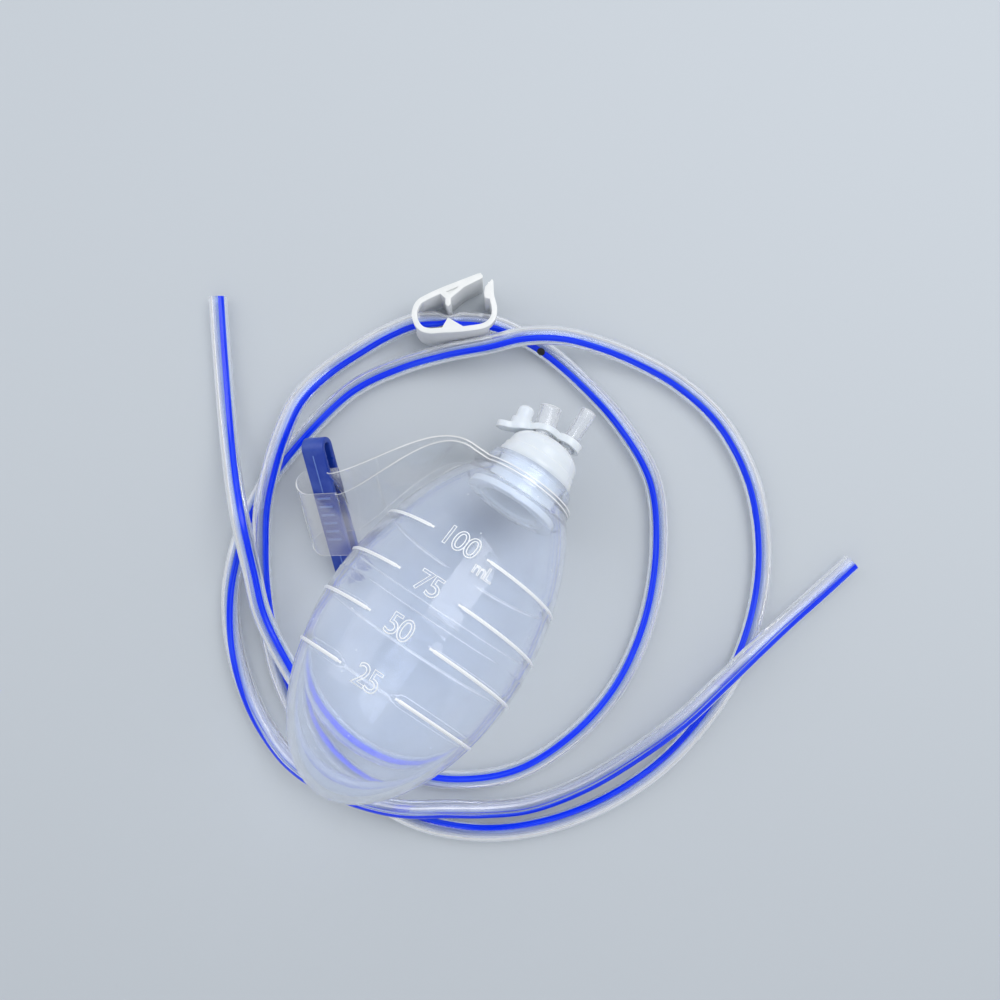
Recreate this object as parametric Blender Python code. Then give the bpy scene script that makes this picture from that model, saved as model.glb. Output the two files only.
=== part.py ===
"""Wound drain bulb: a soft suction bulb with its capped ports, stopper, hanging strap and clip, and the
loose drain tube that lies round it with its pinch clamp. Metres, +Z up, the bulb's neck towards +Y."""

import math

import bmesh
import bpy
from mathutils import Euler, Matrix, Vector

MM = 0.001
GAP = 0.3 * MM  # between pieces that touch

# Bulb. Stations run along its axis from the widest section, positive towards the neck.
BULB_X = 13.4 * MM
BULB_Y = -13.35 * MM
NECK_DROP = math.radians(12.5)  # the bulb rests on its side with the neck low
REST_FLAT = 0.3 * MM  # how far the soft wall flattens on the table
BULB_RADIUS = 26.9 * MM
TIP_REACH = 45.2 * MM
NECK_REACH = 52.0 * MM  # where the neck side of the curve would close
BULB_FULLNESS = 1.84  # 2 is an ellipse
BULB_WALL = 2.0 * MM
SHOULDER_CUT = 8.8 * MM  # the neck cuts the curve off this far before it would close
LIP_THICKNESS = 0.5 * MM
NECK_RADIUS = 11.7 * MM
NECK_WALL = 2.3 * MM
NECK_LEDGE = 3.2 * MM
COLLAR_RISE = 0.6 * MM
COLLAR_LENGTH = 3.6 * MM
GRADUATIONS = (20.5 * MM, 8.0 * MM, -3.7 * MM, -16.9 * MM)
RIB_HEIGHT = 0.4 * MM
RIB_WIDTH = 0.7 * MM
PARTING_STATION = 2.6 * MM
PARTING_HEIGHT = 0.12 * MM
NUMBER_TURN = math.radians(12.5)  # the row of numbers, turned left from the top
NUMBER_GAP = math.radians(17)  # half the break in each graduation
BULB_SIDES = 48

# Hanging strap: one film, doubled round the neck groove and folded through the clip
FILM = 0.7 * MM
STRAP_WIDTH = 18.0 * MM
EYE_MARGIN = 2.3 * MM  # film left round the neck hole
STRAP_LEAVE = 15.0 * MM  # from the bulb's axis to the first bend
LEAVE_HANDLE = 12.0 * MM
ARRIVE_HANDLE = 9.0 * MM
FOLD_SHIFT = 5.5 * MM  # the back layer lies askew by this
FOLD_BULGE = 4.0 * MM

# Clip: a moulded hairpin
CLIP_CLEAR = 9.5 * MM  # sideways from the bulb's widest section
CLIP_BACK = 34.4 * MM  # from the groove towards the tip
CLIP_DROP = 7.3 * MM  # below the axis in the groove
CLIP_ALONG = Vector((0.658, -0.649, -0.375))  # down its arms, towards the open end
CLIP_FACE = Vector((-0.022, -0.516, 0.854))  # out of its front arm
CLIP_WIDTH = 6.2 * MM
CLIP_BAND = 1.5 * MM
CLIP_SPREAD = 4.0 * MM  # between the arms' centre planes
CLIP_BEND = 20.3 * MM
CLIP_END = 15.1 * MM
CLIP_LIP = 0.5 * MM
RIDGES = 6
RIDGE_PITCH = 2.37 * MM
RIDGE_HEIGHT = 0.25 * MM
RIDGE_CENTRE = -1.4 * MM

# Port cap
CAP_WALL = 1.6 * MM
FLANGE_REACH = 3.4 * MM
FLANGE_THICKNESS = 1.5 * MM
FLANGE_CHAMFER = 0.8 * MM
SKIRT_RADIUS = 10.6 * MM
SKIRT_HEIGHT = 5.0 * MM
DOME_RADIUS = 9.6 * MM
DOME_RISE = 5.0 * MM
NOTCH_WIDTH = 1.8 * MM
NOTCH_DEPTH = 0.8 * MM

# Ports: places are measured from the bulb's axis, rises from the dome's outer face
SPOUT_OFFSET = -3.3 * MM
SPOUT_LEAN = math.radians(14)
SPOUT_RADIUS = 3.0 * MM
SPOUT_WALL = 0.95 * MM
SPOUT_RISE = 8.0 * MM
SPOUT_DEPTH = 2.8 * MM
SPIGOT_OFFSET = 3.6 * MM
SPIGOT_RADIUS = 2.2 * MM
SPIGOT_WALL = 0.7 * MM
SPIGOT_RISE = 12.6 * MM
SPIGOT_DEPTH = 6.0 * MM
SPIGOT_BEAD = 0.45 * MM
BEAD_LENGTH = 0.7 * MM
VALVE_WALL = 0.5 * MM
VALVE_LENGTH = 7.6 * MM
BILL_THICKNESS = 1.8 * MM
BILL_SLIT = 0.5 * MM

# Stopper: an eye round the spigot, a strap round the spout's foot, a peg and a finger tab
STOPPER_THICKNESS = 1.6 * MM
EYE_THICKNESS = 2.0 * MM
SPIGOT_EYE = 3.65 * MM
SPOUT_EYE = 4.4 * MM
STOPPER_NECK = 1.8 * MM
PEG_SEAT = 3.0 * MM
TAB_HALF_WIDTH = 2.3 * MM
PEG_OFFSET = -9.2 * MM
PEG_LEAN = math.radians(12)
PEG_DISC_RADIUS = 2.9 * MM
PEG_DISC_THICKNESS = 1.4 * MM
PEG_GRIP = 0.15 * MM  # the soft spout stretches by this over the peg
PEG_RISE = 6.2 * MM
# Its centre line in millimetres: offset from the axis, height from the dome's top
STOPPER_LINE = ((3.6, 1.8), (0.2, 1.6), (-3.3, 1.1), (-6.2, 0.0), (-9.2, -1.7), (-12.0, -3.2), (-14.8, -4.1))

# Drain tube
TUBE_RADIUS = 2.5 * MM
TUBE_POINTS = 74
JAW_STRETCH = 4.0 * MM  # the length of tube that the jaws flatten, either way

# Pinch clamp: its profile lies flat and is extruded upwards
CLAMP_PLACE = Vector((-25.1 * MM, 56.7 * MM, 1.8 * MM))
CLAMP_TURN = math.radians(33.8)
CLAMP_LEAN = math.radians(8)
CLAMP_HEIGHT = 11.5 * MM
CLAMP_BAND = 1.4 * MM
JAW_GAP = 3.0 * MM
NOSE_TIP = Vector((-1.8 * MM, 3.1 * MM))
WINDOW_BOTTOM = 0.6 * MM
WINDOW_HEIGHT = 8.2 * MM
WINDOW_WIDTH = 6.4 * MM
WINDOW_SIDES = ((-15.0 * MM, -5.0 * MM), (6.0 * MM, 15.0 * MM))
# The band's centre line and what is moulded to it, in millimetres: along the base, and across it
CLAMP_LINE = (
    (6.4, 11.5), (1.2, 9.4), (-3.6, 7.45), (-7.6, 5.5), (-9.4, 4.3), (-10.4, 2.4), (-10.6, 0.8),
    (-10.05, -1.2), (-8.8, -2.8), (-6.7, -3.5), (-3.8, -3.35), (3.0, -2.9), (8.1, -1.85), (9.9, -0.1),
    (10.4, 2.5), (9.6, 6.2), (9.4, 9.8),
)
THUMB_END = ((6.65, 12.3), (7.3, 11.5), (7.2, 10.9), (2.4, 8.4), (-1.2, 5.3), (-1.9, 6.1), (1.6, 9.1))
NOSE_LEG = ((-4.6, 7.2), (-3.2, 8.0), (-1.1, 5.9), (-2.3, 5.2))
CATCH_TOOTH = ((9.75, 10.6), (7.95, 8.5), (7.65, 6.8), (7.85, 5.5), (9.0, 5.2), (9.9, 6.2), (10.1, 10.0))
NOSE_ROOT = 6.0 * MM
ANVIL_FOOT = ((-1.9, -3.3), (5.0, -2.9))  # along the base from the anvil's edge, across it

# The tube's centre line in millimetres, from the end at the left to the end at the right
TUBE_ROUTE = (
    # from the left end to under the bulb's tip
    (-84, 28, 2.6), (-73.5, 14.5, 2.6), (-61, -0.5, 4.2), (-50, -11.5, 9.2), (-42.5, -18.5, 11.6),
    (-33.5, -27.8, 9.2), (-25.5, -35.5, 8.2), (-14, -42.5, 7.4), (-3, -48, 5.0), (8, -51.5, 3.0),
    (19, -52.2, 2.6), (30, -50.5, 2.6),
    # the inner loop, up the right side and through the clamp
    (42, -45.5, 2.6), (55, -34, 2.6), (62.5, -17.5, 2.6), (65, 0, 2.6), (62, 19, 2.6), (53.5, 38, 2.6),
    (42, 52.3, 2.6), (26.5, 60.2, 2.6), (10.5, 64.2, 2.6), (-2, 65.6, 2.6), (-11, 64.9, 3.4),
    (-17.7, 63.2, 5.2), (-27.8, 57.5, 5.5), (-35, 52.2, 5.2), (-39.8, 45.8, 4.0),
    # down the left side, over the outer loop, and under the tip again
    (-44, 38, 2.6), (-48, 28, 3.0), (-49.5, 17, 6.4), (-47.5, 6, 7.9), (-44.4, -4, 7.9), (-41, -12.5, 7.2),
    (-36.5, -20.8, 4.8), (-31.6, -28.6, 2.7), (-24, -37.5, 2.6), (-14, -47, 2.6), (-3, -54.2, 2.6),
    (8, -58.4, 2.6), (19, -60.5, 2.6), (30, -61.2, 2.6),
    # the outer loop, up the right side and over the inner one
    (42, -59.5, 2.6), (56, -53.2, 2.6), (68, -43.5, 2.6), (79, -29, 2.6), (86.5, -12, 2.6), (89.6, 6, 2.6),
    (89, 24, 2.6), (84, 41, 2.6), (76, 55, 2.6), (64, 67.5, 2.6), (48.5, 75.8, 2.6), (33.5, 78.2, 2.6),
    (21, 77.2, 3.2), (9.5, 74.4, 5.6), (-0.5, 70.2, 8.6), (-8.5, 64.6, 9.4), (-15.2, 57.6, 8.6),
    (-23.8, 49.6, 5.8), (-32.2, 40.2, 3.0),
    # down the left side and under the tip a third time
    (-39.5, 28, 2.6), (-43.3, 12, 2.6), (-44.8, -3, 2.6), (-44.2, -14, 2.6), (-41.6, -25, 2.6),
    (-36.4, -36.8, 2.6), (-27.5, -48.2, 2.6), (-17, -56.8, 2.7), (-7.5, -61.8, 3.6), (3, -64.3, 6.6),
    (14, -64, 8.1), (25, -61.8, 8.1), (35, -57.8, 7.9),
    # out over the outer loop to the right end
    (44.5, -52, 6.2), (54, -46.6, 3.6), (63, -39.5, 2.6), (72, -27, 2.8), (79, -11, 5.0), (83.6, 4, 7.8),
    (86.8, 18, 8.0), (89.5, 30, 7.6), (93, 41, 4.2), (96.3, 52, 2.7), (99.3, 64, 2.6),
)

# Stations that follow from the sizes above
SHOULDER_END = NECK_REACH - SHOULDER_CUT
GROOVE_START = SHOULDER_END + LIP_THICKNESS
GROOVE_END = GROOVE_START + 2 * FILM + 3 * GAP
FRONT_FILM = GROOVE_START + GAP + FILM / 2
FILM_STEP = FILM + GAP
NECK_END = GROOVE_END + COLLAR_LENGTH
NECK_BORE = NECK_RADIUS - NECK_WALL
LEDGE = SHOULDER_END - NECK_LEDGE + LIP_THICKNESS
PLUG_RADIUS = NECK_BORE - GAP
CAP_BORE = PLUG_RADIUS - CAP_WALL
FLANGE_TOP = LEDGE - GAP
SKIRT_START = NECK_END + GAP
DOME_BASE = SKIRT_START + SKIRT_HEIGHT
DOME_TOP = DOME_BASE + DOME_RISE


def bulb_radius(station):
    """The bulb's outer radius at a station along its axis."""
    reach = NECK_REACH if station > 0 else TIP_REACH
    return BULB_RADIUS * math.sqrt(max(0.0, 1 - (abs(station) / reach) ** BULB_FULLNESS))


def dome_height(offset, inset=0.0):
    """The station of the dome's outer face, or of its inner face with an inset, at some offset."""
    share = min(1.0, abs(offset) / (DOME_RADIUS - inset))
    return DOME_BASE + (DOME_RISE - inset) * math.sqrt(1 - share**2)


def material(name, colour, roughness, alpha=1.0):
    """A plain Principled material; colour is linear RGB."""
    made = bpy.data.materials.new(name)
    made.use_nodes = True
    shader = made.node_tree.nodes["Principled BSDF"]
    shader.inputs["Base Color"].default_value = (*colour, 1)
    shader.inputs["Roughness"].default_value = roughness
    shader.inputs["Metallic"].default_value = 0
    shader.inputs["Alpha"].default_value = alpha
    made.diffuse_color = (*colour, alpha)
    return made


def add_object(name, shape, made_of=None, parent=None):
    """Closes a bmesh into an object, its faces pointing out, round faces smooth."""
    bmesh.ops.recalc_face_normals(shape, faces=shape.faces)
    mesh = bpy.data.meshes.new(name)
    shape.to_mesh(mesh)
    shape.free()
    mesh.shade_smooth()
    mesh.set_sharp_from_angle(angle=math.radians(35))
    if made_of:
        mesh.materials.append(made_of)
    made = bpy.data.objects.new(name, mesh)
    bpy.context.collection.objects.link(made)
    made.parent = parent
    return made


def turned(profile, sides, closed=True):
    """A profile of (radius, height) points spun about Z; an open one starts and ends on the axis."""
    shape = bmesh.new()
    points = [shape.verts.new((radius, 0, height)) for radius, height in profile]
    pairs = list(zip(points, points[1:]))
    if closed:
        pairs.append((points[-1], points[0]))
    edges = [shape.edges.new(pair) for pair in pairs]
    bmesh.ops.spin(
        shape, geom=points + edges, cent=(0, 0, 0), axis=(0, 0, 1), angle=math.tau, steps=sides,
        use_merge=True,
    )
    bmesh.ops.remove_doubles(shape, verts=shape.verts, dist=0.001 * MM)
    return shape


def lofted(loops, closed=False):
    """Loops of as many points each, joined in turn, with flat ends unless they close on themselves."""
    shape = bmesh.new()
    rows = [[shape.verts.new(point) for point in loop] for loop in loops]
    joined = rows + rows[:1] if closed else rows
    for row, following in zip(joined, joined[1:]):
        for k in range(len(row)):
            shape.faces.new((row[k - 1], row[k], following[k], following[k - 1]))
    if not closed:
        shape.faces.new(rows[0])
        shape.faces.new(rows[-1])
    return shape


def prism(outline, low, high):
    """A flat outline of (x, y) points extruded from one height to another."""
    shape = bmesh.new()
    base = shape.faces.new([shape.verts.new((x, y, low)) for x, y in outline])
    raised = bmesh.ops.extrude_face_region(shape, geom=[base])
    top = [item for item in raised["geom"] if isinstance(item, bmesh.types.BMVert)]
    bmesh.ops.translate(shape, vec=(0, 0, high - low), verts=top)
    return shape


def box(low, high):
    """A box between two corners."""
    outline = ((low[0], low[1]), (high[0], low[1]), (high[0], high[1]), (low[0], high[1]))
    return prism(outline, low[2], high[2])


def rod(radius, low, high, sides=32):
    """A solid cylinder about Z."""
    return turned(((0, low), (radius, low), (radius, high), (0, high)), sides, closed=False)


def combine(target, other, operation):
    """Adds a Boolean with a helper object, which is left out of the model itself."""
    other.hide_render = True
    other.display_type = "WIRE"
    other.parent = target.parent
    change = target.modifiers.new(other.name, "BOOLEAN")
    change.object = other
    change.operation = operation
    change.solver = "EXACT"


def ellipse_arc(centre, radius, rise, start, end, steps):
    """Profile points along an ellipse about a station on the axis, angles from the radius upwards."""
    angles = [start + (end - start) * k / steps for k in range(steps + 1)]
    return [(radius * math.cos(a), centre + rise * math.sin(a)) for a in angles]


def blend(start, end, share):
    """An eased step between two values."""
    return start + (end - start) * share * share * (3 - 2 * share)


def smooth_point(before, start, end, after, share):
    """A point between start and end on the centripetal Catmull-Rom curve through four points."""
    knots = [0.0]
    for a, b in ((before, start), (start, end), (end, after)):
        knots.append(knots[-1] + math.sqrt((b - a).length))
    at = knots[1] + share * (knots[2] - knots[1])

    def between(a, b, low, high):
        return a.lerp(b, (at - knots[low]) / (knots[high] - knots[low]))

    first = between(before, start, 0, 1)
    middle = between(start, end, 1, 2)
    last = between(end, after, 2, 3)
    return between(between(first, middle, 0, 2), between(middle, last, 1, 3), 1, 2)


def smooth_curve(points, steps):
    """The smooth curve through some points, with this many steps from each to the next."""
    ends = [2 * points[0] - points[1], *points, 2 * points[-1] - points[-2]]
    curve = []
    for k in range(1, len(ends) - 2):
        curve += [smooth_point(*ends[k - 1 : k + 3], share=n / steps) for n in range(steps)]
    return curve + [points[-1]]


def bulb_rest_height():
    """Where the axis lies over the table when the tilted bulb rests on its side."""
    stations = [NECK_REACH * k / 200 for k in range(200)]
    reach = max(s * math.sin(NECK_DROP) + bulb_radius(s) * math.cos(NECK_DROP) for s in stations)
    return reach - REST_FLAT


def bulb_outside():
    """The outer profile from the tip's pole to the shoulder, with its ribs and its parting line."""
    raised = [(station, RIB_HEIGHT, RIB_WIDTH) for station in GRADUATIONS]
    raised.append((PARTING_STATION, PARTING_HEIGHT, RIB_WIDTH / 2))
    tip = [-TIP_REACH * math.sin(math.radians(a)) ** (2 / BULB_FULLNESS) for a in range(88, 0, -8)]
    neck = [SHOULDER_END * math.sin(math.radians(a)) for a in range(0, 91, 9)]
    plain = [s for s in tip + neck if all(abs(s - at) > 2 * RIB_WIDTH for at, _, _ in raised)]
    rows = [(s, 0.0) for s in plain]
    for at, height, width in raised:
        rows += [(at - width, 0), (at - width / 2, height), (at + width / 2, height), (at + width, 0)]
    return [(0, -TIP_REACH)] + [(bulb_radius(s) + height, s) for s, height in sorted(rows)]


def bulb_inside():
    """The inner profile from the ledge in the neck back to the tip's pole."""
    radius = BULB_RADIUS - BULB_WALL
    neck_reach = NECK_REACH - BULB_WALL
    tip_reach = TIP_REACH - BULB_WALL
    stations = [LEDGE * math.sin(math.radians(a)) for a in range(90, -1, -15)]
    points = [(radius * math.sqrt(1 - (s / neck_reach) ** BULB_FULLNESS), s) for s in stations]
    for degrees in range(12, 90, 12):
        angle = math.radians(degrees)
        points.append((radius * math.cos(angle), -tip_reach * math.sin(angle) ** (2 / BULB_FULLNESS)))
    return points + [(0, -tip_reach)]


def add_bulb(axis, made_of):
    """The soft bulb: a blow-moulded shell, its graduations broken where the numbers stand."""
    collar = NECK_RADIUS + COLLAR_RISE
    lip = bulb_radius(SHOULDER_END)
    neck = [
        (lip - 0.3 * LIP_THICKNESS, SHOULDER_END + 0.7 * LIP_THICKNESS),
        (lip - LIP_THICKNESS, GROOVE_START),
        (NECK_RADIUS, GROOVE_START),
        (NECK_RADIUS, GROOVE_END),
        (collar - COLLAR_RISE / 3, GROOVE_END),
        (collar, GROOVE_END + COLLAR_RISE / 2),
        (collar, NECK_END - COLLAR_RISE),
        (NECK_RADIUS, NECK_END),
        (NECK_BORE, NECK_END),
        (NECK_BORE, LEDGE),
    ]
    shape = turned(bulb_outside() + neck + bulb_inside(), BULB_SIDES, closed=False)
    number_side = Vector((-math.sin(NUMBER_TURN), -math.cos(NUMBER_TURN), 0))
    for vert in shape.verts:
        across = Vector((vert.co.x, vert.co.y, 0))
        level = bulb_radius(vert.co.z)
        on_rib = any(abs(vert.co.z - at) < RIB_WIDTH for at in GRADUATIONS) and across.length > level
        if on_rib and across.angle(number_side) < NUMBER_GAP:
            vert.co = across.normalized() * level + Vector((0, 0, vert.co.z))
    flatten_on_table(shape, axis.matrix_world)
    return add_object("bulb", shape, made_of, axis)


def flatten_on_table(shape, place):
    """The soft wall spreads where the bulb rests, so nothing reaches below the table."""
    back = place.inverted()
    for vert in shape.verts:
        world = place @ vert.co
        if world.z < 0:
            world.z = 0
            vert.co = back @ world


def add_port_cap(axis, made_of):
    """The milky cap: a plug with a retaining flange in the neck, a skirt on the rim and a domed end."""
    flange = PLUG_RADIUS + FLANGE_REACH
    flange_low = FLANGE_TOP - FLANGE_THICKNESS
    profile = [(0, DOME_TOP)]
    profile += ellipse_arc(DOME_BASE, DOME_RADIUS, DOME_RISE, math.radians(75), 0, 5)
    profile += [
        (SKIRT_RADIUS - 0.8 * (SKIRT_RADIUS - DOME_RADIUS), DOME_BASE - 0.28 * SKIRT_HEIGHT),
        (SKIRT_RADIUS - 0.3 * (SKIRT_RADIUS - DOME_RADIUS), SKIRT_START + 0.34 * SKIRT_HEIGHT),
        (SKIRT_RADIUS, SKIRT_START),
        (PLUG_RADIUS, SKIRT_START),
        (PLUG_RADIUS, FLANGE_TOP),
        (flange, FLANGE_TOP),
        (flange, flange_low),
        (CAP_BORE + FLANGE_CHAMFER, flange_low),
        (CAP_BORE, flange_low + FLANGE_CHAMFER),
        (CAP_BORE, SKIRT_START),
    ]
    inner = ellipse_arc(DOME_BASE, DOME_RADIUS - CAP_WALL, DOME_RISE - CAP_WALL, 0, math.radians(72), 4)
    profile += inner + [(0, DOME_TOP - CAP_WALL)]
    cap = add_object("port_cap", turned(profile, 40, closed=False), made_of, axis)

    spout_hole = add_object("spout_hole", rod(SPOUT_RADIUS + GAP, -DOME_RISE, SPOUT_RISE))
    combine(cap, spout_hole, "DIFFERENCE")
    spout_hole.matrix_local = spout_frame()
    spigot_hole = add_object("spigot_hole", rod(SPIGOT_RADIUS + GAP, DOME_BASE, DOME_TOP + DOME_RISE))
    combine(cap, spigot_hole, "DIFFERENCE")
    spigot_hole.location.x = SPIGOT_OFFSET
    half = NOTCH_WIDTH / 2
    notch = box((-half, -2 * flange, flange_low - GAP), (half, NOTCH_DEPTH - flange, FLANGE_TOP + GAP))
    combine(cap, add_object("flange_notch", notch), "DIFFERENCE")
    return cap


def spout_frame():
    """The spout's frame: its foot on the dome, Z along its leaning axis."""
    foot = Vector((SPOUT_OFFSET, 0, dome_height(SPOUT_OFFSET)))
    return Matrix.Translation(foot) @ Matrix.Rotation(-SPOUT_LEAN, 4, "Y")


def add_spout(axis, made_of):
    """The emptying spout: a short wide tube that leans to the left."""
    bore = SPOUT_RADIUS - SPOUT_WALL
    profile = (
        (SPOUT_RADIUS, -SPOUT_DEPTH), (SPOUT_RADIUS, SPOUT_RISE), (bore, SPOUT_RISE), (bore, -SPOUT_DEPTH),
    )
    spout = add_object("emptying_spout", turned(profile, 28), made_of, axis)
    spout.matrix_local = spout_frame()
    return spout


def spigot_stations():
    """The spigot's end, the underside of its bead and its foot inside the cap."""
    surface = dome_height(SPIGOT_OFFSET)
    edge = SPIGOT_OFFSET + SPIGOT_RADIUS + SPIGOT_BEAD
    bead_low = dome_height(edge, CAP_WALL) - GAP - BEAD_LENGTH
    return surface + SPIGOT_RISE, bead_low, surface - SPIGOT_DEPTH


def add_spigot(axis, made_of):
    """The inlet spigot: a narrow tube with a retaining bead just inside the dome."""
    end, bead_low, foot = spigot_stations()
    bore = SPIGOT_RADIUS - SPIGOT_WALL
    bead = SPIGOT_RADIUS + SPIGOT_BEAD
    profile = (
        (bore, foot), (SPIGOT_RADIUS, foot), (SPIGOT_RADIUS, bead_low), (bead, bead_low),
        (bead, bead_low + 0.6 * BEAD_LENGTH), (SPIGOT_RADIUS, bead_low + BEAD_LENGTH),
        (SPIGOT_RADIUS, end), (bore, end),
    )
    spigot = add_object("inlet_spigot", turned(profile, 24), made_of, axis)
    spigot.location.x = SPIGOT_OFFSET
    return spigot


def oval(half_x, half_y, height, sides=20):
    """A loop of points round an ellipse at one height."""
    angles = [math.tau * k / sides for k in range(sides)]
    return [(half_x * math.cos(a), half_y * math.sin(a), height) for a in angles]


def add_valve(axis, made_of):
    """The duckbill valve: a sleeve on the spigot's foot that tapers to a flat slit."""
    _, bead_low, foot = spigot_stations()
    top = bead_low - GAP
    inner = SPIGOT_RADIUS + GAP
    outer = inner + VALVE_WALL
    throat = foot - GAP
    end = top - VALVE_LENGTH
    slit = outer - VALVE_WALL
    loops = [
        oval(outer, outer, top),
        oval(outer, outer, throat),
        oval(outer, (outer + BILL_THICKNESS / 2) / 2, (throat + end) / 2),
        oval(outer, BILL_THICKNESS / 2, end),
        oval(slit, BILL_SLIT / 2, end),
        oval(slit, (inner + BILL_SLIT / 2) / 2, (throat + end) / 2),
        oval(inner, inner, throat),
        oval(inner, inner, top),
    ]
    valve = add_object("non_return_valve", lofted(loops, closed=True), made_of, axis)
    valve.location.x = SPIGOT_OFFSET
    return valve


def stopper_half_width(offset):
    """Half the stopper's width in plan: the spout's eye, the neck, the peg's seat and the tab."""
    def disc(centre, radius):
        return math.sqrt(max(0.0, radius**2 - (offset - centre) ** 2))

    tab_end = STOPPER_LINE[-1][0] * MM
    body = TAB_HALF_WIDTH if offset < PEG_OFFSET else STOPPER_NECK
    if offset < tab_end + TAB_HALF_WIDTH:
        body = disc(tab_end + TAB_HALF_WIDTH, TAB_HALF_WIDTH)
    return max(body, disc(SPOUT_OFFSET, SPOUT_EYE), disc(PEG_OFFSET, PEG_SEAT), 0.3 * MM)


def stopper_plate():
    """The stopper's flat strap, which follows the dome from the spigot's eye to the tab."""
    line = [Vector((x * MM, 0, DOME_TOP + z * MM)) for x, z in STOPPER_LINE]
    curve = smooth_curve(line, 5)
    loops = []
    for k, point in enumerate(curve):
        along = (curve[min(k + 1, len(curve) - 1)] - curve[max(k - 1, 0)]).normalized()
        up = along.cross(Vector((0, 1, 0))).normalized() * (STOPPER_THICKNESS / 2)
        if up.z < 0:
            up.negate()
        side = Vector((0, stopper_half_width(point.x), 0))
        loops.append([point - side - up, point + side - up, point + side + up, point - side + up])
    return lofted(loops), line


def add_stopper(axis, made_of):
    """The stopper, one moulding: eye disc, strap, peg on its disc, and finger tab."""
    plate, line = stopper_plate()
    stopper = add_object("stopper", plate, made_of, axis)
    spout_way = add_object("stopper_spout_way", rod(SPOUT_RADIUS + GAP, -DOME_RISE, SPOUT_RISE))
    combine(stopper, spout_way, "DIFFERENCE")
    spout_way.matrix_local = spout_frame()
    eye_middle = line[0].z
    eye = rod(SPIGOT_EYE, eye_middle - EYE_THICKNESS / 2, eye_middle + EYE_THICKNESS / 2)
    eye_disc = add_object("stopper_eye", eye)
    combine(stopper, eye_disc, "UNION")
    eye_disc.location.x = SPIGOT_OFFSET

    peg_radius = SPOUT_RADIUS - SPOUT_WALL + PEG_GRIP
    profile = [
        (0, 0),
        (PEG_DISC_RADIUS, 0),
        (PEG_DISC_RADIUS, PEG_DISC_THICKNESS + STOPPER_THICKNESS / 2),
        (peg_radius, PEG_DISC_THICKNESS + STOPPER_THICKNESS / 2),
    ]
    profile += ellipse_arc(PEG_RISE - peg_radius * 0.7, peg_radius, peg_radius * 0.7, 0, math.radians(72), 3)
    profile.append((0, PEG_RISE))
    peg = add_object("stopper_peg", turned(profile, 24, closed=False))
    combine(stopper, peg, "UNION")
    seat = next(point for point, entry in zip(line, STOPPER_LINE) if entry[0] * MM == PEG_OFFSET)
    peg.matrix_local = Matrix.Translation(seat) @ Matrix.Rotation(-PEG_LEAN, 4, "Y")

    way = rod(SPIGOT_RADIUS + GAP, DOME_BASE, DOME_TOP + DOME_RISE)
    spigot_way = add_object("stopper_spigot_way", way)
    combine(stopper, spigot_way, "DIFFERENCE")
    spigot_way.location.x = SPIGOT_OFFSET
    return stopper


def clip_frame(axis):
    """The clip's frame: X down its arms, Z out of its front arm, the origin in the front arm's middle."""
    along = CLIP_ALONG.normalized()
    across = CLIP_FACE.cross(along).normalized()
    face = along.cross(across)
    turn = Matrix((along, across, face)).transposed().to_4x4()
    neck = axis.matrix_world @ Vector((0, 0, FRONT_FILM))
    return Matrix.Translation(neck - Vector((BULB_RADIUS + CLIP_CLEAR, CLIP_BACK, CLIP_DROP))) @ turn


def add_clip(axis, made_of):
    """The clip: a hairpin band whose front arm has grip ridges, extruded across its width."""
    half = CLIP_BAND / 2
    middle = -CLIP_SPREAD / 2
    outline = [(CLIP_END, -half - CLIP_LIP), (CLIP_END, half)]
    for k in range(RIDGES):
        at = RIDGE_CENTRE + ((RIDGES - 1) / 2 - k) * RIDGE_PITCH
        quarter = RIDGE_PITCH / 4
        outline += [(at + quarter, half), (at + quarter / 2, half + RIDGE_HEIGHT)]
        outline += [(at - quarter / 2, half + RIDGE_HEIGHT), (at - quarter, half)]
    for radius, turn in ((CLIP_SPREAD / 2 + half, 1), (CLIP_SPREAD / 2 - half, -1)):
        angles = [math.radians(turn * 90 + 18 * k * turn) for k in range(11)]
        outline += [(-CLIP_BEND + radius * math.cos(a), middle + radius * math.sin(a)) for a in angles]
        if turn > 0:
            outline += [(CLIP_END, -CLIP_SPREAD - half), (CLIP_END, -CLIP_SPREAD + half)]
    outline.append((CLIP_END - 2 * CLIP_LIP, -half))
    shape = prism(outline, -CLIP_WIDTH / 2, CLIP_WIDTH / 2)
    stand = Matrix(((1, 0, 0, 0), (0, 0, -1, 0), (0, 1, 0, 0), (0, 0, 0, 1)))
    bmesh.ops.transform(shape, matrix=stand, verts=shape.verts)
    clip = add_object("hanging_clip", shape, made_of)
    clip.matrix_world = clip_frame(axis)
    return clip


def eye_stations():
    """Offsets across the neck from the film's far end to where it leaves the neck."""
    far = NECK_RADIUS + GAP + EYE_MARGIN
    return [far * math.cos(math.radians(a)) for a in range(5, 156, 10)] + [-STRAP_LEAVE]


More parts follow.
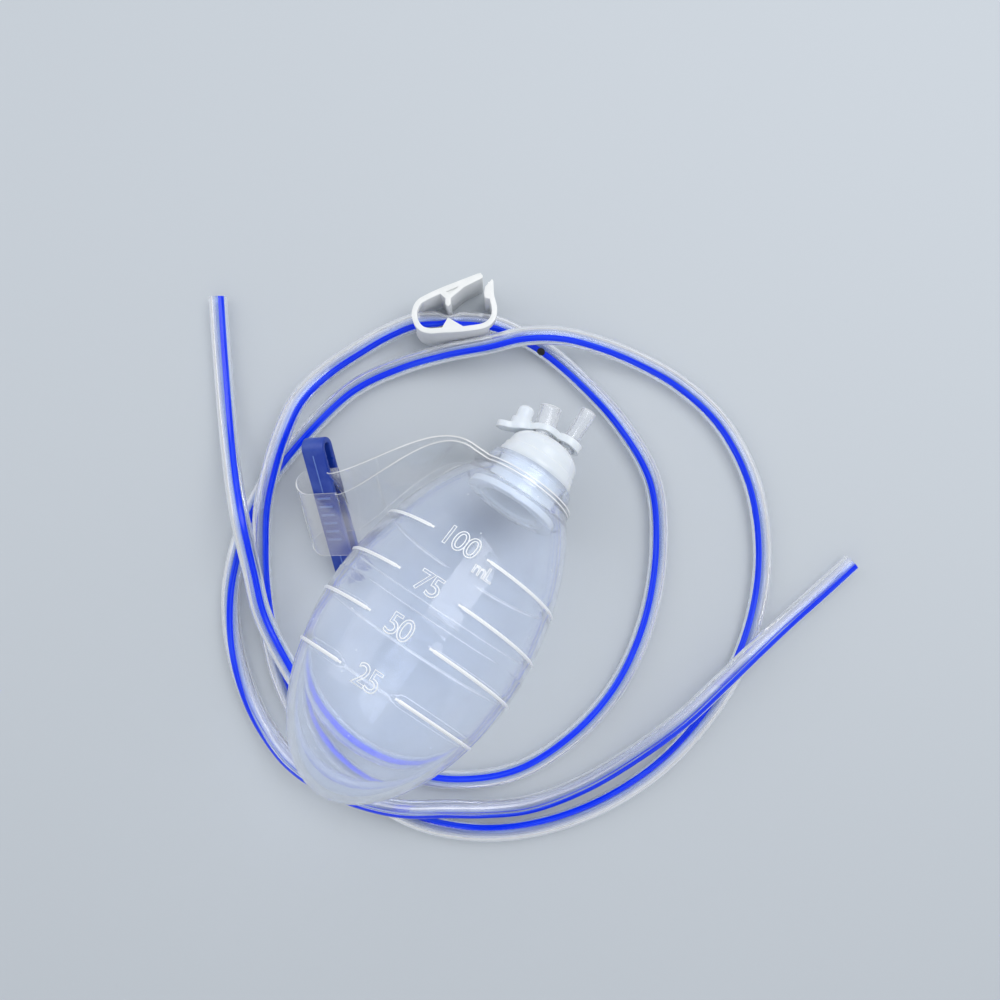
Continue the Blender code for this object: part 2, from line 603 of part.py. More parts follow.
def strap_sections(axis):
    """The film's cross-sections in the bulb's frame: centre, side and face directions, half width."""
    far = NECK_RADIUS + GAP + EYE_MARGIN
    back = axis.matrix_world.inverted()
    clip = back @ clip_frame(axis)
    along, across, face = (clip.to_3x3().col[k].normalized() for k in range(3))
    centre = clip.translation
    half = STRAP_WIDTH / 2
    down = Vector((0, 1, 0))
    towards_tip = Vector((0, 0, -1))
    front_offset = CLIP_BAND / 2 + RIDGE_HEIGHT + GAP + FILM / 2
    back_offset = -CLIP_SPREAD / 2

    eye = []
    for offset in eye_stations():
        width = max(math.sqrt(max(0.0, far**2 - offset**2)), half if offset < 0 else 0.0)
        eye.append((Vector((offset, 0, FRONT_FILM)), down, towards_tip, width))

    leave = Vector((-STRAP_LEAVE, 0, FRONT_FILM))
    arrive = centre + face * front_offset + across * (CLIP_WIDTH / 2 + 2 * FILM)
    handles = (leave, leave - Vector((LEAVE_HANDLE, 0, 0)), arrive + across * ARRIVE_HANDLE, arrive)
    steps = 12
    front, behind = [], []
    for k in range(1, steps + 1):
        share = k / steps
        rest = 1 - share
        weights = (rest**3, 3 * rest**2 * share, 3 * rest * share**2, share**3)
        slopes = (-3 * rest**2, 3 * rest * (rest - 2 * share), 3 * share * (2 * rest - share), 3 * share**2)
        point = sum((w * handle for w, handle in zip(weights, handles)), Vector())
        ahead = sum((w * handle for w, handle in zip(slopes, handles)), Vector()).normalized()
        side = down.slerp(along, share)
        side = (side - ahead * side.dot(ahead)).normalized()
        out = side.cross(-ahead)
        front.append((point, side, out, half))
        apart = blend(FILM_STEP, front_offset - back_offset, share)
        behind.append((point - out * apart - side * blend(0, FOLD_SHIFT, share), side, out, half))

    middle = (front_offset + back_offset) / 2
    rise = (front_offset - back_offset) / 2
    fold_at = -CLIP_WIDTH / 2 - FILM
    fold = []
    for degrees in range(90, -91, -20):
        angle = math.radians(degrees)
        place = centre + across * (fold_at - FOLD_BULGE * math.cos(angle))
        place += face * (middle + rise * math.sin(angle))
        place -= along * blend(0, FOLD_SHIFT, (90 - degrees) / 180)
        out = (face * math.sin(angle) * FOLD_BULGE - across * math.cos(angle) * rise).normalized()
        fold.append((place, along, out, half))
    behind = [(point, side, -out, width) for point, side, out, width in reversed(behind)]
    step = Vector((0, 0, FILM_STEP))
    return_eye = [(point + step, side, -out, width) for point, side, out, width in reversed(eye)]
    return eye + front + fold + behind + return_eye


def add_strap(axis, made_of):
    """The hanging strap: a doubled film, its eye round the neck groove, folded round the clip's front arm."""
    loops = []
    for centre, side, out, half in strap_sections(axis):
        thick = out * (FILM / 2)
        wide = side * half
        near, far = centre - wide, centre + wide
        loops.append([near - thick, far - thick, far + thick, near + thick])
    strap = add_object("hanging_strap", lofted(loops), made_of, axis)
    hole = add_object("strap_eye", rod(NECK_RADIUS + GAP, GROOVE_START - GAP, GROOVE_END + GAP, BULB_SIDES))
    combine(strap, hole, "DIFFERENCE")
    return strap


def clamp_frame():
    """The clamp's frame: X along its base, Y across it, Z up its height."""
    turn = Euler((-CLAMP_LEAN, 0, CLAMP_TURN)).to_matrix().to_4x4()
    return Matrix.Translation(CLAMP_PLACE) @ turn


def add_tube(made_of):
    """The drain tube on the smooth curve through its route, narrowed to a waist between the clamp's jaws."""
    points = [Vector(point) * MM for point in TUBE_ROUTE]
    jaws = clamp_frame() @ Vector((NOSE_TIP.x, NOSE_TIP.y - JAW_GAP / 2, CLAMP_HEIGHT / 2))
    jaw_point = min(range(len(points)), key=lambda k: (points[k] - jaws).length)
    steps = 20
    fine = smooth_curve(points, steps)
    run = [0.0]
    for a, b in zip(fine, fine[1:]):
        run.append(run[-1] + (b - a).length)
    jaw = run[jaw_point * steps]
    marks = [run[-1] * k / (TUBE_POINTS - 1) for k in range(TUBE_POINTS)]
    marks = [mark for mark in marks if abs(mark - jaw) > 1.5 * JAW_STRETCH]
    marks = sorted(marks + [jaw - JAW_STRETCH, jaw, jaw + JAW_STRETCH])

    curve = bpy.data.curves.new("drain_tube", "CURVE")
    curve.dimensions = "3D"
    curve.bevel_depth = TUBE_RADIUS
    curve.bevel_resolution = 3
    curve.use_fill_caps = True
    curve.materials.append(made_of)
    spline = curve.splines.new("POLY")
    spline.points.add(len(marks) - 1)
    k = 0
    for mark, target in zip(marks, spline.points):
        while k < len(run) - 2 and run[k + 1] < mark:
            k += 1
        place = fine[k].lerp(fine[k + 1], (mark - run[k]) / (run[k + 1] - run[k]))
        target.co = (*place, 1)
        target.radius = (JAW_GAP / 2 - GAP) / TUBE_RADIUS if mark == jaw else 1.0
    spline.use_smooth = True
    tube = bpy.data.objects.new("drain_tube", curve)
    bpy.context.collection.objects.link(tube)
    return tube


def add_clamp(made_of):
    """The pinch clamp: a bent band with a ribbed nose over an anvil, windows for the tube and a catch."""
    line = smooth_curve([Vector((x, y, 0)) * MM for x, y in CLAMP_LINE], 3)
    loops = []
    for k, point in enumerate(line):
        ahead = (line[min(k + 1, len(line) - 1)] - line[max(k - 1, 0)]).normalized()
        across = Vector((-ahead.y, ahead.x, 0)) * (CLAMP_BAND / 2)
        up = Vector((0, 0, CLAMP_HEIGHT))
        loops.append([point - across, point + across, point + across + up, point - across + up])
    clamp = add_object("pinch_clamp", lofted(loops), made_of)
    clamp.matrix_basis = clamp_frame()

    nose = NOSE_TIP
    anvil = nose - Vector((0, JAW_GAP))
    half = CLAMP_BAND / 2
    outlines = {
        "thumb_end": [(x * MM, y * MM) for x, y in THUMB_END],
        "nose_leg": [(x * MM, y * MM) for x, y in NOSE_LEG],
        "catch_tooth": [(x * MM, y * MM) for x, y in CATCH_TOOTH],
        "nose_stem": (
            (nose.x - half, nose.y + half), (nose.x, nose.y), (nose.x + half, nose.y + half),
            (nose.x + half, NOSE_ROOT), (nose.x - half, NOSE_ROOT),
        ),
        "anvil": [(anvil.x, anvil.y)] + [(anvil.x + x * MM, y * MM) for x, y in ANVIL_FOOT],
    }
    for name, outline in outlines.items():
        piece = add_object(name, prism(outline, 0, CLAMP_HEIGHT))
        combine(clamp, piece, "UNION")
        piece.matrix_world = clamp.matrix_basis

    middle = anvil.y + JAW_GAP / 3
    for start, end in WINDOW_SIDES:
        low = (start, middle - WINDOW_WIDTH / 2, WINDOW_BOTTOM)
        high = (end, middle + WINDOW_WIDTH / 2, WINDOW_BOTTOM + WINDOW_HEIGHT)
        window = add_object("clamp_window", box(low, high))
        combine(clamp, window, "DIFFERENCE")
        window.matrix_world = clamp.matrix_basis
    return clamp


def main():
    for old in list(bpy.data.objects):
        bpy.data.objects.remove(old, do_unlink=True)

    silicone = material("clear_silicone", (0.62, 0.72, 0.84), 0.25, 0.55)
    milky = material("milky_polyethylene", (0.80, 0.86, 0.92), 0.40)
    clear = material("clear_tubing", (0.66, 0.76, 0.90), 0.15, 0.5)
    film = material("clear_film", (0.70, 0.78, 0.90), 0.15, 0.4)
    blue = material("blue_clip_plastic", (0.02, 0.10, 0.55), 0.35)
    white = material("white_clamp_plastic", (0.85, 0.86, 0.86), 0.40)
    valve = material("valve_silicone", (0.78, 0.84, 0.88), 0.35)

    axis = bpy.data.objects.new("bulb_axis", None)
    bpy.context.collection.objects.link(axis)
    axis.location = (BULB_X, BULB_Y, bulb_rest_height())
    axis.rotation_euler = (-math.pi / 2 - NECK_DROP, 0, 0)
    bpy.context.view_layer.update()

    add_bulb(axis, silicone)
    add_port_cap(axis, milky)
    add_spout(axis, clear)
    add_spigot(axis, clear)
    add_valve(axis, valve)
    add_stopper(axis, milky)
    add_strap(axis, film)
    add_clip(axis, blue)
    add_tube(clear)
    add_clamp(white)


main()
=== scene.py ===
"""The looks of a wound drain bulb: a clear silicone squeeze bulb with its milky cap, ports and stopper, a clear
hanging strap with its blue clip, and the striped drain tube with its pinch clamp. Metres, in the part's frame."""

import math
from functools import partial

import bpy
from bpy.props import FloatProperty, FloatVectorProperty, IntProperty, PointerProperty, StringProperty
from mathutils import Euler, Matrix, Vector


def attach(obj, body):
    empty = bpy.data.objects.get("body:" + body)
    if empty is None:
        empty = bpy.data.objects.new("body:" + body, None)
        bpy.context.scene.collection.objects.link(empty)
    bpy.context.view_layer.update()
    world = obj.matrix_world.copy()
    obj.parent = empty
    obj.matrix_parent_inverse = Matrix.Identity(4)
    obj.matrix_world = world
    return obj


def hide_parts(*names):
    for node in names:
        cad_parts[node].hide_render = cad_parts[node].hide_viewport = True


bl_info = {
    "name": "Wound Drain Bulb",
    "version": (1, 0, 0),
    "blender": (4, 5, 0),
    "location": "View3D > Sidebar > Drain Bulb",
    "description": "Builds a wound drain bulb with its cap, strap, clip, drain tube and pinch clamp",
    "category": "Mesh",
}

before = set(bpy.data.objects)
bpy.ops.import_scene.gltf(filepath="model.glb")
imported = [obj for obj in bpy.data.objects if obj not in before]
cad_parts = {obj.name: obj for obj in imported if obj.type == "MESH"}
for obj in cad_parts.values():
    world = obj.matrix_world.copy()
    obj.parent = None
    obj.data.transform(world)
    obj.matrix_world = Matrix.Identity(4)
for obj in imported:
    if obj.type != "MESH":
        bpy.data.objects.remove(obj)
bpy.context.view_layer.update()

MM = 0.001
GAP = 0.3 * MM

# Stations run along the bulb's axis from its widest section, positive towards the neck
BULB_SPOT = (13.4 * MM, -13.35 * MM)
PRESSED_FLAT = 0.3 * MM  # what the underside gives where it rests
SHOULDER_END = 43.2 * MM
LIP_THICKNESS = 0.5 * MM
NECK_RADIUS = 11.7 * MM
NECK_WALL = 2.3 * MM
NECK_LEDGE = 3.2 * MM
COLLAR_RISE = 0.6 * MM
COLLAR_LENGTH = 3.6 * MM
CAD_FILM = 0.7 * MM
GROOVE_START = SHOULDER_END + LIP_THICKNESS
GROOVE_END = GROOVE_START + 2 * CAD_FILM + 3 * GAP
NECK_END = GROOVE_END + COLLAR_LENGTH
NECK_BORE = NECK_RADIUS - NECK_WALL
LEDGE = SHOULDER_END - NECK_LEDGE + LIP_THICKNESS
GRADUATIONS = ((20.5 * MM, "100"), (8.0 * MM, "75"), (-3.7 * MM, "50"), (-16.9 * MM, "25"))
PARTING_STATION = 2.6 * MM
PARTING_HEIGHT = 0.12 * MM
PROUD = 0.13 * MM  # what stands prouder is frosted
RING_FADE = math.radians(3)
FLAT_LIFT = 0.04 * MM  # keeps the pressed-flat underside clear of the floor's own face

# Port cap
PLUG_RADIUS = NECK_BORE - GAP
CAP_WALL = 1.6 * MM
CAP_BORE = PLUG_RADIUS - CAP_WALL
FLANGE_TOP = LEDGE - GAP
FLANGE_RADIUS = 12.5 * MM
FLANGE_THICKNESS = 1.5 * MM
SKIRT_START = NECK_END + GAP
SKIRT_RADIUS = 10.6 * MM
SKIRT_HEIGHT = 5.0 * MM
DOME_RADIUS = 9.6 * MM
DOME_RISE = 5.0 * MM
DOME_BASE = SKIRT_START + SKIRT_HEIGHT
DOME_TOP = DOME_BASE + DOME_RISE

# Ports
SPOUT_OFFSET = -3.3 * MM
SPOUT_RADIUS = 3.0 * MM
SPOUT_DEPTH = 2.8 * MM
SPIGOT_OFFSET = 3.6 * MM
SPIGOT_RADIUS = 2.2 * MM
SPIGOT_DEPTH = 6.0 * MM
SPIGOT_SHIFT = Matrix.Translation((SPIGOT_OFFSET, 0, 0))
SPIGOT_BEAD = 0.45 * MM
BEAD_LENGTH = 0.7 * MM
VALVE_LENGTH = 7.6 * MM
VALVE_WALL = 0.5 * MM
VALVE_STEPS = 8
VALVE_TAPER = 0.67
CUT_END = 0.24 * MM  # how far a port's frosted end reaches

# Stopper: offset from the axis and height from the dome's top, in millimetres
STOPPER_LINE = ((3.6, 1.8), (0.2, 1.6), (-3.3, 1.1), (-6.2, 0.0), (-9.2, -1.7), (-12.0, -3.2), (-14.8, -4.1))
PEG_OFFSET = -9.2 * MM
TAB_HALF = 2.3 * MM

# Strap and clip
STRAP_LEAVE = 15.0 * MM
EYE_RADIUS = 14.3 * MM
LEAVE_HANDLE = 12.0 * MM
ARRIVE_HANDLE = 9.0 * MM
FOLD_SHIFT = 5.5 * MM
FOLD_BULGE = 4.0 * MM
CLIP_CENTRE = Vector((-23.0, -4.451, 11.028)) * MM
CLIP_ALONG = Vector((0.658, -0.649, -0.375))
CLIP_FACE = Vector((-0.022, -0.516, 0.854))
CLIP_SPREAD = 4.0 * MM
CLIP_BEND = 20.3 * MM
CLIP_END = 15.1 * MM

# Pinch clamp: millimetres in its own frame, U along its base and V across it
CLAMP_PLACE = Vector((-25.1, 56.7, 1.8)) * MM
JAW_GAP = 3.0
NOSE_TIP = (-1.8, 3.1)
CLAMP_SKIN = 0.6 * MM
CLAMP_POCKET = ((-3.3, 7.7), (-1.3, 5.9), (2.2, 9.2), (1.2, 9.5))
CLAMP_LINE = (
    (6.4, 11.5), (1.2, 9.4), (-3.6, 7.45), (-7.6, 5.5), (-9.4, 4.3), (-10.4, 2.4), (-10.6, 0.8),
    (-10.05, -1.2), (-8.8, -2.8), (-6.7, -3.5), (-3.8, -3.35), (3.0, -2.9), (8.1, -1.85), (9.9, -0.1),
    (10.4, 2.5), (9.6, 6.2), (9.4, 9.8),
)

# The tube's centre line in millimetres, from the end at the left to the end at the right. A point with no height
# of its own lies at the resting height
TUBE_REST = 2.6
TUBE_ROUTE = (
    (-84, 28), (-73.5, 14.5), (-61, -0.5, 4.2), (-50, -11.5, 9.2), (-42.5, -18.5, 11.6), (-33.5, -27.8, 9.2),
    (-25.5, -35.5, 8.2), (-14, -42.5, 7.4), (-3, -48, 5.0), (8, -51.5, 3.0), (19, -52.2), (30, -50.5), (42, -45.5),
    (55, -34), (62.5, -17.5), (65, 0), (62, 19), (53.5, 38), (42, 52.3), (26.5, 60.2), (10.5, 64.2), (-2, 65.6),
    (-11, 64.9, 3.4), (-17.7, 63.2, 5.2), (-27.8, 57.5, 5.5), (-35, 52.2, 5.2), (-39.8, 45.8, 4.0), (-44, 38),
    (-48, 28, 3.0), (-49.5, 17, 6.4), (-47.5, 6, 7.9), (-44.4, -4, 7.9), (-41, -12.5, 7.2), (-36.5, -20.8, 4.8),
    (-31.6, -28.6, 2.7), (-24, -37.5), (-14, -47), (-3, -54.2), (8, -58.4), (19, -60.5), (30, -61.2), (42, -59.5),
    (56, -53.2), (68, -43.5), (79, -29), (86.5, -12), (89.6, 6), (89, 24), (84, 41), (76, 55), (64, 67.5),
    (48.5, 75.8), (33.5, 78.2), (21, 77.2, 3.2), (9.5, 74.4, 5.6), (-0.5, 70.2, 8.6), (-8.5, 64.6, 9.4),
    (-15.2, 57.6, 8.6), (-23.8, 49.6, 5.8), (-32.2, 40.2, 3.0), (-39.5, 28), (-43.3, 12), (-44.8, -3), (-44.2, -14),
    (-41.6, -25), (-36.4, -36.8), (-27.5, -48.2), (-17, -56.8, 2.7), (-7.5, -61.8, 3.6), (3, -64.3, 6.6),
    (14, -64, 8.1), (25, -61.8, 8.1), (35, -57.8, 7.9), (44.5, -52, 6.2), (54, -46.6, 3.6), (63, -39.5),
    (72, -27, 2.8), (79, -11, 5.0), (83.6, 4, 7.8), (86.8, 18, 8.0), (89.5, 30, 7.6), (93, 41, 4.2),
    (96.3, 52, 2.7), (99.3, 64),
)
ROUTE_STEPS = 20
RING_PITCH = 1.2 * MM
PINCH_PITCH = 0.4 * MM
PINCH_LENGTH = 1.9 * MM
JAW_POINT = 24
MARK_POINT = 21
DOT_RADIUS = 1.1 * MM
INK = 0.03 * MM
STRIPE_FACES = 4
STRIPE_WANDER = math.radians(14)
WANDER_LENGTH = 110 * MM
STREAK_LENGTH = 120 * MM
TWIST_START = 870 * MM
TWIST_LENGTH = 60 * MM
LATE_TWIST = math.radians(70)

# Looks
NOISE_SPAN = (0.3, 0.7)  # where most of a noise texture's values lie
LIT_POINT = Vector((0.01, 0.0, 0.015))


def length(name, description, millimetres):
    """A length property with its default in millimetres."""
    return FloatProperty(
        name=name, description=description, default=millimetres * MM, min=0, subtype="DISTANCE", unit="LENGTH"
    )


def angle(name, description, degrees):
    """An angle property with its default in degrees."""
    return FloatProperty(name=name, description=description, default=math.radians(degrees), subtype="ANGLE")


def number(name, description, value):
    """A plain number property."""
    return FloatProperty(name=name, description=description, default=value)


def whole(name, description, least, value):
    """A whole number property."""
    return IntProperty(name=name, description=description, min=least, default=value)


def colour(name, description, code):
    """A colour property that holds an sRGB hex code."""
    return StringProperty(name=name, description=description, default=code)


class BulbSettings(bpy.types.PropertyGroup):
    """The squeeze bulb and what is moulded on it."""

    radius: length("Radius", "Outer radius at the widest section", 26.9)
    tip_reach: length("Tip reach", "From the widest section to the closed tip", 45.2)
    neck_reach: length("Neck reach", "Where the neck side of the curve would close", 52)
    fullness: number("Fullness", "Power of the curve, 2 for an ellipse", 1.84)
    wall: length("Wall", "Wall thickness", 2)
    neck_drop: angle("Neck drop", "How far the neck hangs below level", 12.5)
    rib_height: length("Ring height", "How far a graduation stands proud", 0.4)
    rib_width: length("Ring width", "Width of a graduation", 0.7)
    number_turn: angle("Number turn", "How far the numbers stand left of the top", 12.5)
    number_gap: angle("Number gap", "Half the break in each graduation", 17)
    number_size: length("Number size", "Type size of the numbers", 7.4)
    number_line: length("Number line", "Radius of the raised outline of the numbers", 0.15)
    sides: whole("Sides", "Faces round the bulb", 24, 144)


class PortSettings(bpy.types.PropertyGroup):
    """The two ports and the stopper."""

    spout_lean: angle("Spout lean", "Lean of the emptying spout", 14)
    spout_wall: length("Spout wall", "Wall of the emptying spout", 0.95)
    spout_rise: length("Spout rise", "Height of the spout over the dome", 8)
    spigot_wall: length("Spigot wall", "Wall of the inlet spigot", 0.7)
    spigot_rise: length("Spigot rise", "Height of the spigot over the dome", 12.6)
    stopper_thickness: length("Stopper thickness", "Thickness of the stopper's strap", 1.6)
    peg_rise: length("Peg rise", "Height of the stopper's peg", 6.2)
    peg_lean: angle("Peg lean", "Lean of the stopper's peg", 12)


class StrapSettings(bpy.types.PropertyGroup):
    """The hanging strap and its clip."""

    width: length("Width", "Width of the strap", 18)
    film: length("Film", "Thickness of the film", 0.36)
    clip_width: length("Clip width", "Width of the clip's band", 6.2)
    clip_band: length("Clip band", "Thickness of the clip's band", 1.5)
    ridge_length: length("Ridge length", "Length of a grip ridge", 3.9)
    ridge_pitch: length("Ridge pitch", "From one grip ridge to the next", 2.37)
    ridges: whole("Ridges", "Number of grip ridges", 1, 6)


class TubeSettings(bpy.types.PropertyGroup):
    """The drain tube and its pinch clamp."""

    radius: length("Radius", "Outer radius of the drain tube", 2.5)
    wall: length("Wall", "Wall of the drain tube", 0.85)
    pinch: number("Pinch", "Share of its width that the clamp takes", 0.48)
    sides: whole("Sides", "Faces round the tube", 12, 38)
    stripe_turn: angle("Stripe turn", "Where the stripe runs, from the top towards the outside of the loops", -34)
    clamp_height: length("Clamp height", "Height of the pinch clamp", 11.5)
    clamp_band: length("Clamp band", "Thickness of the clamp's band", 1.4)
    clamp_lean: angle("Clamp lean", "Lean of the clamp", 8)
    clamp_turn: angle("Clamp turn", "Turn of the clamp about the upright", 33.8)


class FinishSettings(bpy.types.PropertyGroup):
    """Colours, as sRGB hex codes."""

    silicone: colour("Silicone", "Clear silicone of the bulb", "F0F5FE")
    ridge: colour("Frosted ridge", "Raised lines of the bulb, which scatter light", "FAFCFF")
    milky: colour("Milky polyethylene", "Cap and stopper", "F5F9FB")
    # Painted shade: the darker colour of the cap and stopper where they are seen square on
    painted_square_on_shade: colour("Deep milky", "Cap and stopper where they are seen square on", "D5DEE8")
    clear: colour("Clear tube", "Clear vinyl of the drain tube", "F1F4FE")
    port: colour("Clear ports", "Clear vinyl of the two ports", "FAFCFF")
    stripe: colour("Stripe", "Marker stripe in the tube's wall", "0030F5")
    # Painted glow: the stripe's blue, painted into the clear wall beside the stripe
    glow: colour("Glow", "Clear wall beside the stripe", "8FB2FF")
    film: colour("Film", "Hanging strap", "FCFDFE")
    clip: colour("Clip", "Moulded blue clip", "16399F")
    clamp: colour("Clamp", "Moulded white clamp", "E8EAEA")
    floor: colour("Floor", "Plain pale floor", "C6CCD2")


class StageSettings(bpy.types.PropertyGroup):
    """Camera and light."""

    camera_place: FloatVectorProperty(
        name="Camera place", description="Place of the camera", default=(0.0104, 0.02495, 0.2882), unit="LENGTH"
    )
    camera_turn: angle("Camera turn", "Turn of the camera about the upright", 33.8)
    lens: number("Lens", "Focal length in millimetres", 37.8)
    key_power: number("Key light", "Power of the key light in watts", 1.15)
    fill_power: number("Fill light", "Power of the fill light in watts", 0.45)
    sky: number("Sky light", "Strength of the surrounding light", 0.7)


class DrainBulbSettings(bpy.types.PropertyGroup):
    """All that the panel shows."""

    bulb: PointerProperty(type=BulbSettings)
    ports: PointerProperty(type=PortSettings)
    strap: PointerProperty(type=StrapSettings)
    tube: PointerProperty(type=TubeSettings)
    finish: PointerProperty(type=FinishSettings)
    stage: PointerProperty(type=StageSettings)


# Curves


def bulb_radius(bulb, station):
    """The bulb's outer radius at a station along its axis."""
    reach = bulb.neck_reach if station > 0 else bulb.tip_reach
    return bulb.radius * math.sqrt(max(0.0, 1 - (abs(station) / reach) ** bulb.fullness))


def bulb_place(bulb):
    """The bulb's frame: Z towards the neck, Y down, the origin in its widest section."""
    drop = bulb.neck_drop
    stations = [bulb.neck_reach * k / 200 for k in range(200)]
    rest = max(s * math.sin(drop) + bulb_radius(bulb, s) * math.cos(drop) for s in stations) - PRESSED_FLAT
    turn = Matrix.Rotation(-math.pi / 2 - drop, 4, "X")
    return Matrix.Translation((*BULB_SPOT, rest)) @ turn


def dome_height(offset, inset=0.0):
    """The station of the dome's outer face, or of its inner face with an inset, at an offset from the axis."""
    share = min(1.0, abs(offset) / (DOME_RADIUS - inset))
    return DOME_BASE + (DOME_RISE - inset) * math.sqrt(1 - share**2)


def arc(centre, radius, rise, start, end, steps):
    """Profile points along an ellipse about a station on the axis, degrees from the radius upwards."""
    angles = [math.radians(start + (end - start) * k / steps) for k in range(steps + 1)]
    return [(radius * math.cos(a), centre + rise * math.sin(a)) for a in angles]


def eased(start, end, share):
    """An eased step between two values."""
    return start + (end - start) * share * share * (3 - 2 * share)


def smooth_point(before, start, end, after, share):
    """A point between start and end on the centripetal Catmull-Rom curve through four points."""
    knots = [0.0]
    for a, b in ((before, start), (start, end), (end, after)):
        knots.append(knots[-1] + math.sqrt((b - a).length))
    at = knots[1] + share * (knots[2] - knots[1])

    def between(a, b, low, high):
        return a.lerp(b, (at - knots[low]) / (knots[high] - knots[low]))

    first = between(before, start, 0, 1)
    middle = between(start, end, 1, 2)
    last = between(end, after, 2, 3)
    return between(between(first, middle, 0, 2), between(middle, last, 1, 3), 1, 2)


def smooth_curve(points, steps):
    """The smooth curve through some points, with this many steps from each to the next."""
    ends = [2 * points[0] - points[1], *points, 2 * points[-1] - points[-2]]
    curve = []
    for k in range(1, len(ends) - 2):
        curve += [smooth_point(*ends[k - 1 : k + 3], share=n / steps) for n in range(steps)]
    return curve + [points[-1]]


def heading(points, k):
    """The direction of a line at one of its points."""
    return (points[min(k + 1, len(points) - 1)] - points[max(k - 1, 0)]).normalized()


# Modelling


def add_piece(name, primitive, **settings):
    """A new object, made by the operator that adds it."""
    bpy.ops.object.select_all(action="DESELECT")
    primitive(**settings)
    piece = bpy.context.object
    piece.name = piece.data.name = name
    return piece


def edit_all():
    """Enters edit mode with everything selected."""
    bpy.ops.object.mode_set(mode="EDIT")
    bpy.ops.mesh.select_all(action="SELECT")


def extrude(step):
    """Extrudes what is selected."""
    bpy.ops.mesh.extrude_region_move(TRANSFORM_OT_translate={"value": step})


def draw_piece(name, points):
    """A new object in edit mode: a plane merged to one vertex, which is extruded from point to point."""
    piece = add_piece(name, bpy.ops.mesh.primitive_plane_add, size=MM)
    edit_all()
    bpy.ops.mesh.merge(type="CENTER")
    bpy.ops.transform.translate(value=points[0])
    for here, there in zip(points, points[1:]):
        extrude(Vector(there) - Vector(here))
    bpy.ops.mesh.select_all(action="SELECT")
    return piece


def end_piece(piece):
    """Closes seams and poles, turns faces outwards and leaves edit mode."""
    bpy.ops.mesh.select_all(action="SELECT")
    bpy.ops.mesh.remove_doubles(threshold=0.001 * MM)
    bpy.ops.mesh.normals_make_consistent(inside=False)
    bpy.ops.object.mode_set(mode="OBJECT")
    return piece


def spin_piece(name, profile, sides, closed=False):
    """Draws a profile of (radius, height) points and spins it about Z; an open one starts and ends on the axis."""
    points = [(radius, 0, height) for radius, height in profile]
    piece = draw_piece(name, points + points[:1] if closed else points)
    bpy.ops.mesh.spin(steps=sides, angle=math.tau, center=(0, 0, 0), axis=(0, 0, 1))
    return end_piece(piece)


def rod(name, radius, low, high, sides=48):
    """A plain rod about Z, to add or to cut with."""
    return spin_piece(name, ((0, low), (radius, low), (radius, high), (0, high)), sides)


def flat_piece(name, outline, low, high):
    """Draws an outline of (x, y) points, fills it and extrudes it from one height to another."""
    piece = draw_piece(name, [(x, y, low) for x, y in outline])
    bpy.ops.mesh.edge_face_add()
    extrude((0, 0, high - low))
    return end_piece(piece)


def block(name, x_span, y_span, low, high):
    """A plain block, to add or to cut with."""
    (left, right), (near, far) = x_span, y_span
    return flat_piece(name, ((left, near), (right, near), (right, far), (left, far)), low, high)


def sheet_piece(name, sections, across):
    """A grid bent to follow cross-sections, each a centre, a side direction and a half width."""
    counts = {"x_subdivisions": across, "y_subdivisions": len(sections) - 1}
    piece = add_piece(name, bpy.ops.mesh.primitive_grid_add, size=MM, **counts)
    for k, vert in enumerate(piece.data.vertices):
        row, column = divmod(k, across + 1)
        centre, side, half = sections[row]
        vert.co = centre + side * (half * (2 * column / across - 1))
    return piece


def only(piece):
    """Makes a piece the only one that is selected, and the active one."""
    bpy.ops.object.select_all(action="DESELECT")
    piece.select_set(True)
    bpy.context.view_layer.objects.active = piece


def modify(piece, kind, **settings):
    """Adds a modifier to a piece and applies it."""
    only(piece)
    change = piece.modifiers.new(kind.title(), kind)
    for name, value in settings.items():
        setattr(change, name, value)
    bpy.ops.object.modifier_apply(modifier=change.name)


def join(piece, others):
    """Joins other pieces to a piece."""
    only(piece)
    for other in others:
        other.select_set(True)
    bpy.ops.object.join()


def combine(piece, other, operation="DIFFERENCE"):
    """Cuts another piece away from a piece, or adds it, and removes the other one."""
    modify(piece, "BOOLEAN", object=other, operation=operation, solver="EXACT")
    bpy.data.objects.remove(other, do_unlink=True)


def smooth(piece, limit=35):
    """Shades a piece smooth, up to an angle in degrees."""
    only(piece)
    bpy.ops.object.shade_smooth_by_angle(angle=math.radians(limit))


def soften(piece, width, segments=2, limit=35):
    """Rounds the edges sharper than a limit in degrees, as a mould does, and shades the rest smooth."""
    only(piece)
    edit_all()
    bpy.ops.mesh.dissolve_limited(angle_limit=math.radians(0.4))
    bpy.ops.object.mode_set(mode="OBJECT")
    modify(piece, "BEVEL", width=width, segments=segments, limit_method="ANGLE", angle_limit=math.radians(limit))
    smooth(piece)


def second_above(piece, height):
    """Gives a piece's second material to its faces above a height."""
    for face in piece.data.polygons:
        face.material_index = int(face.center.z > height)


def settle(piece, place, body, materials, nodes=()):
    """Puts a piece's place in its mesh, gives it its materials, hands it to its body and hides the nodes that it
    stands for.
    """
    piece.data.transform(place)
    for made_of in materials:
        piece.data.materials.append(made_of)
    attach(piece, body)
    if nodes:
        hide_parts(*nodes)


# Materials


def linear(code):
    """An sRGB hex code as linear RGBA."""
    parts = [int(code[k : k + 2], 16) / 255 for k in (0, 2, 4)]
    return (*(p / 12.92 if p <= 0.04045 else ((p + 0.055) / 1.055) ** 2.4 for p in parts), 1.0)


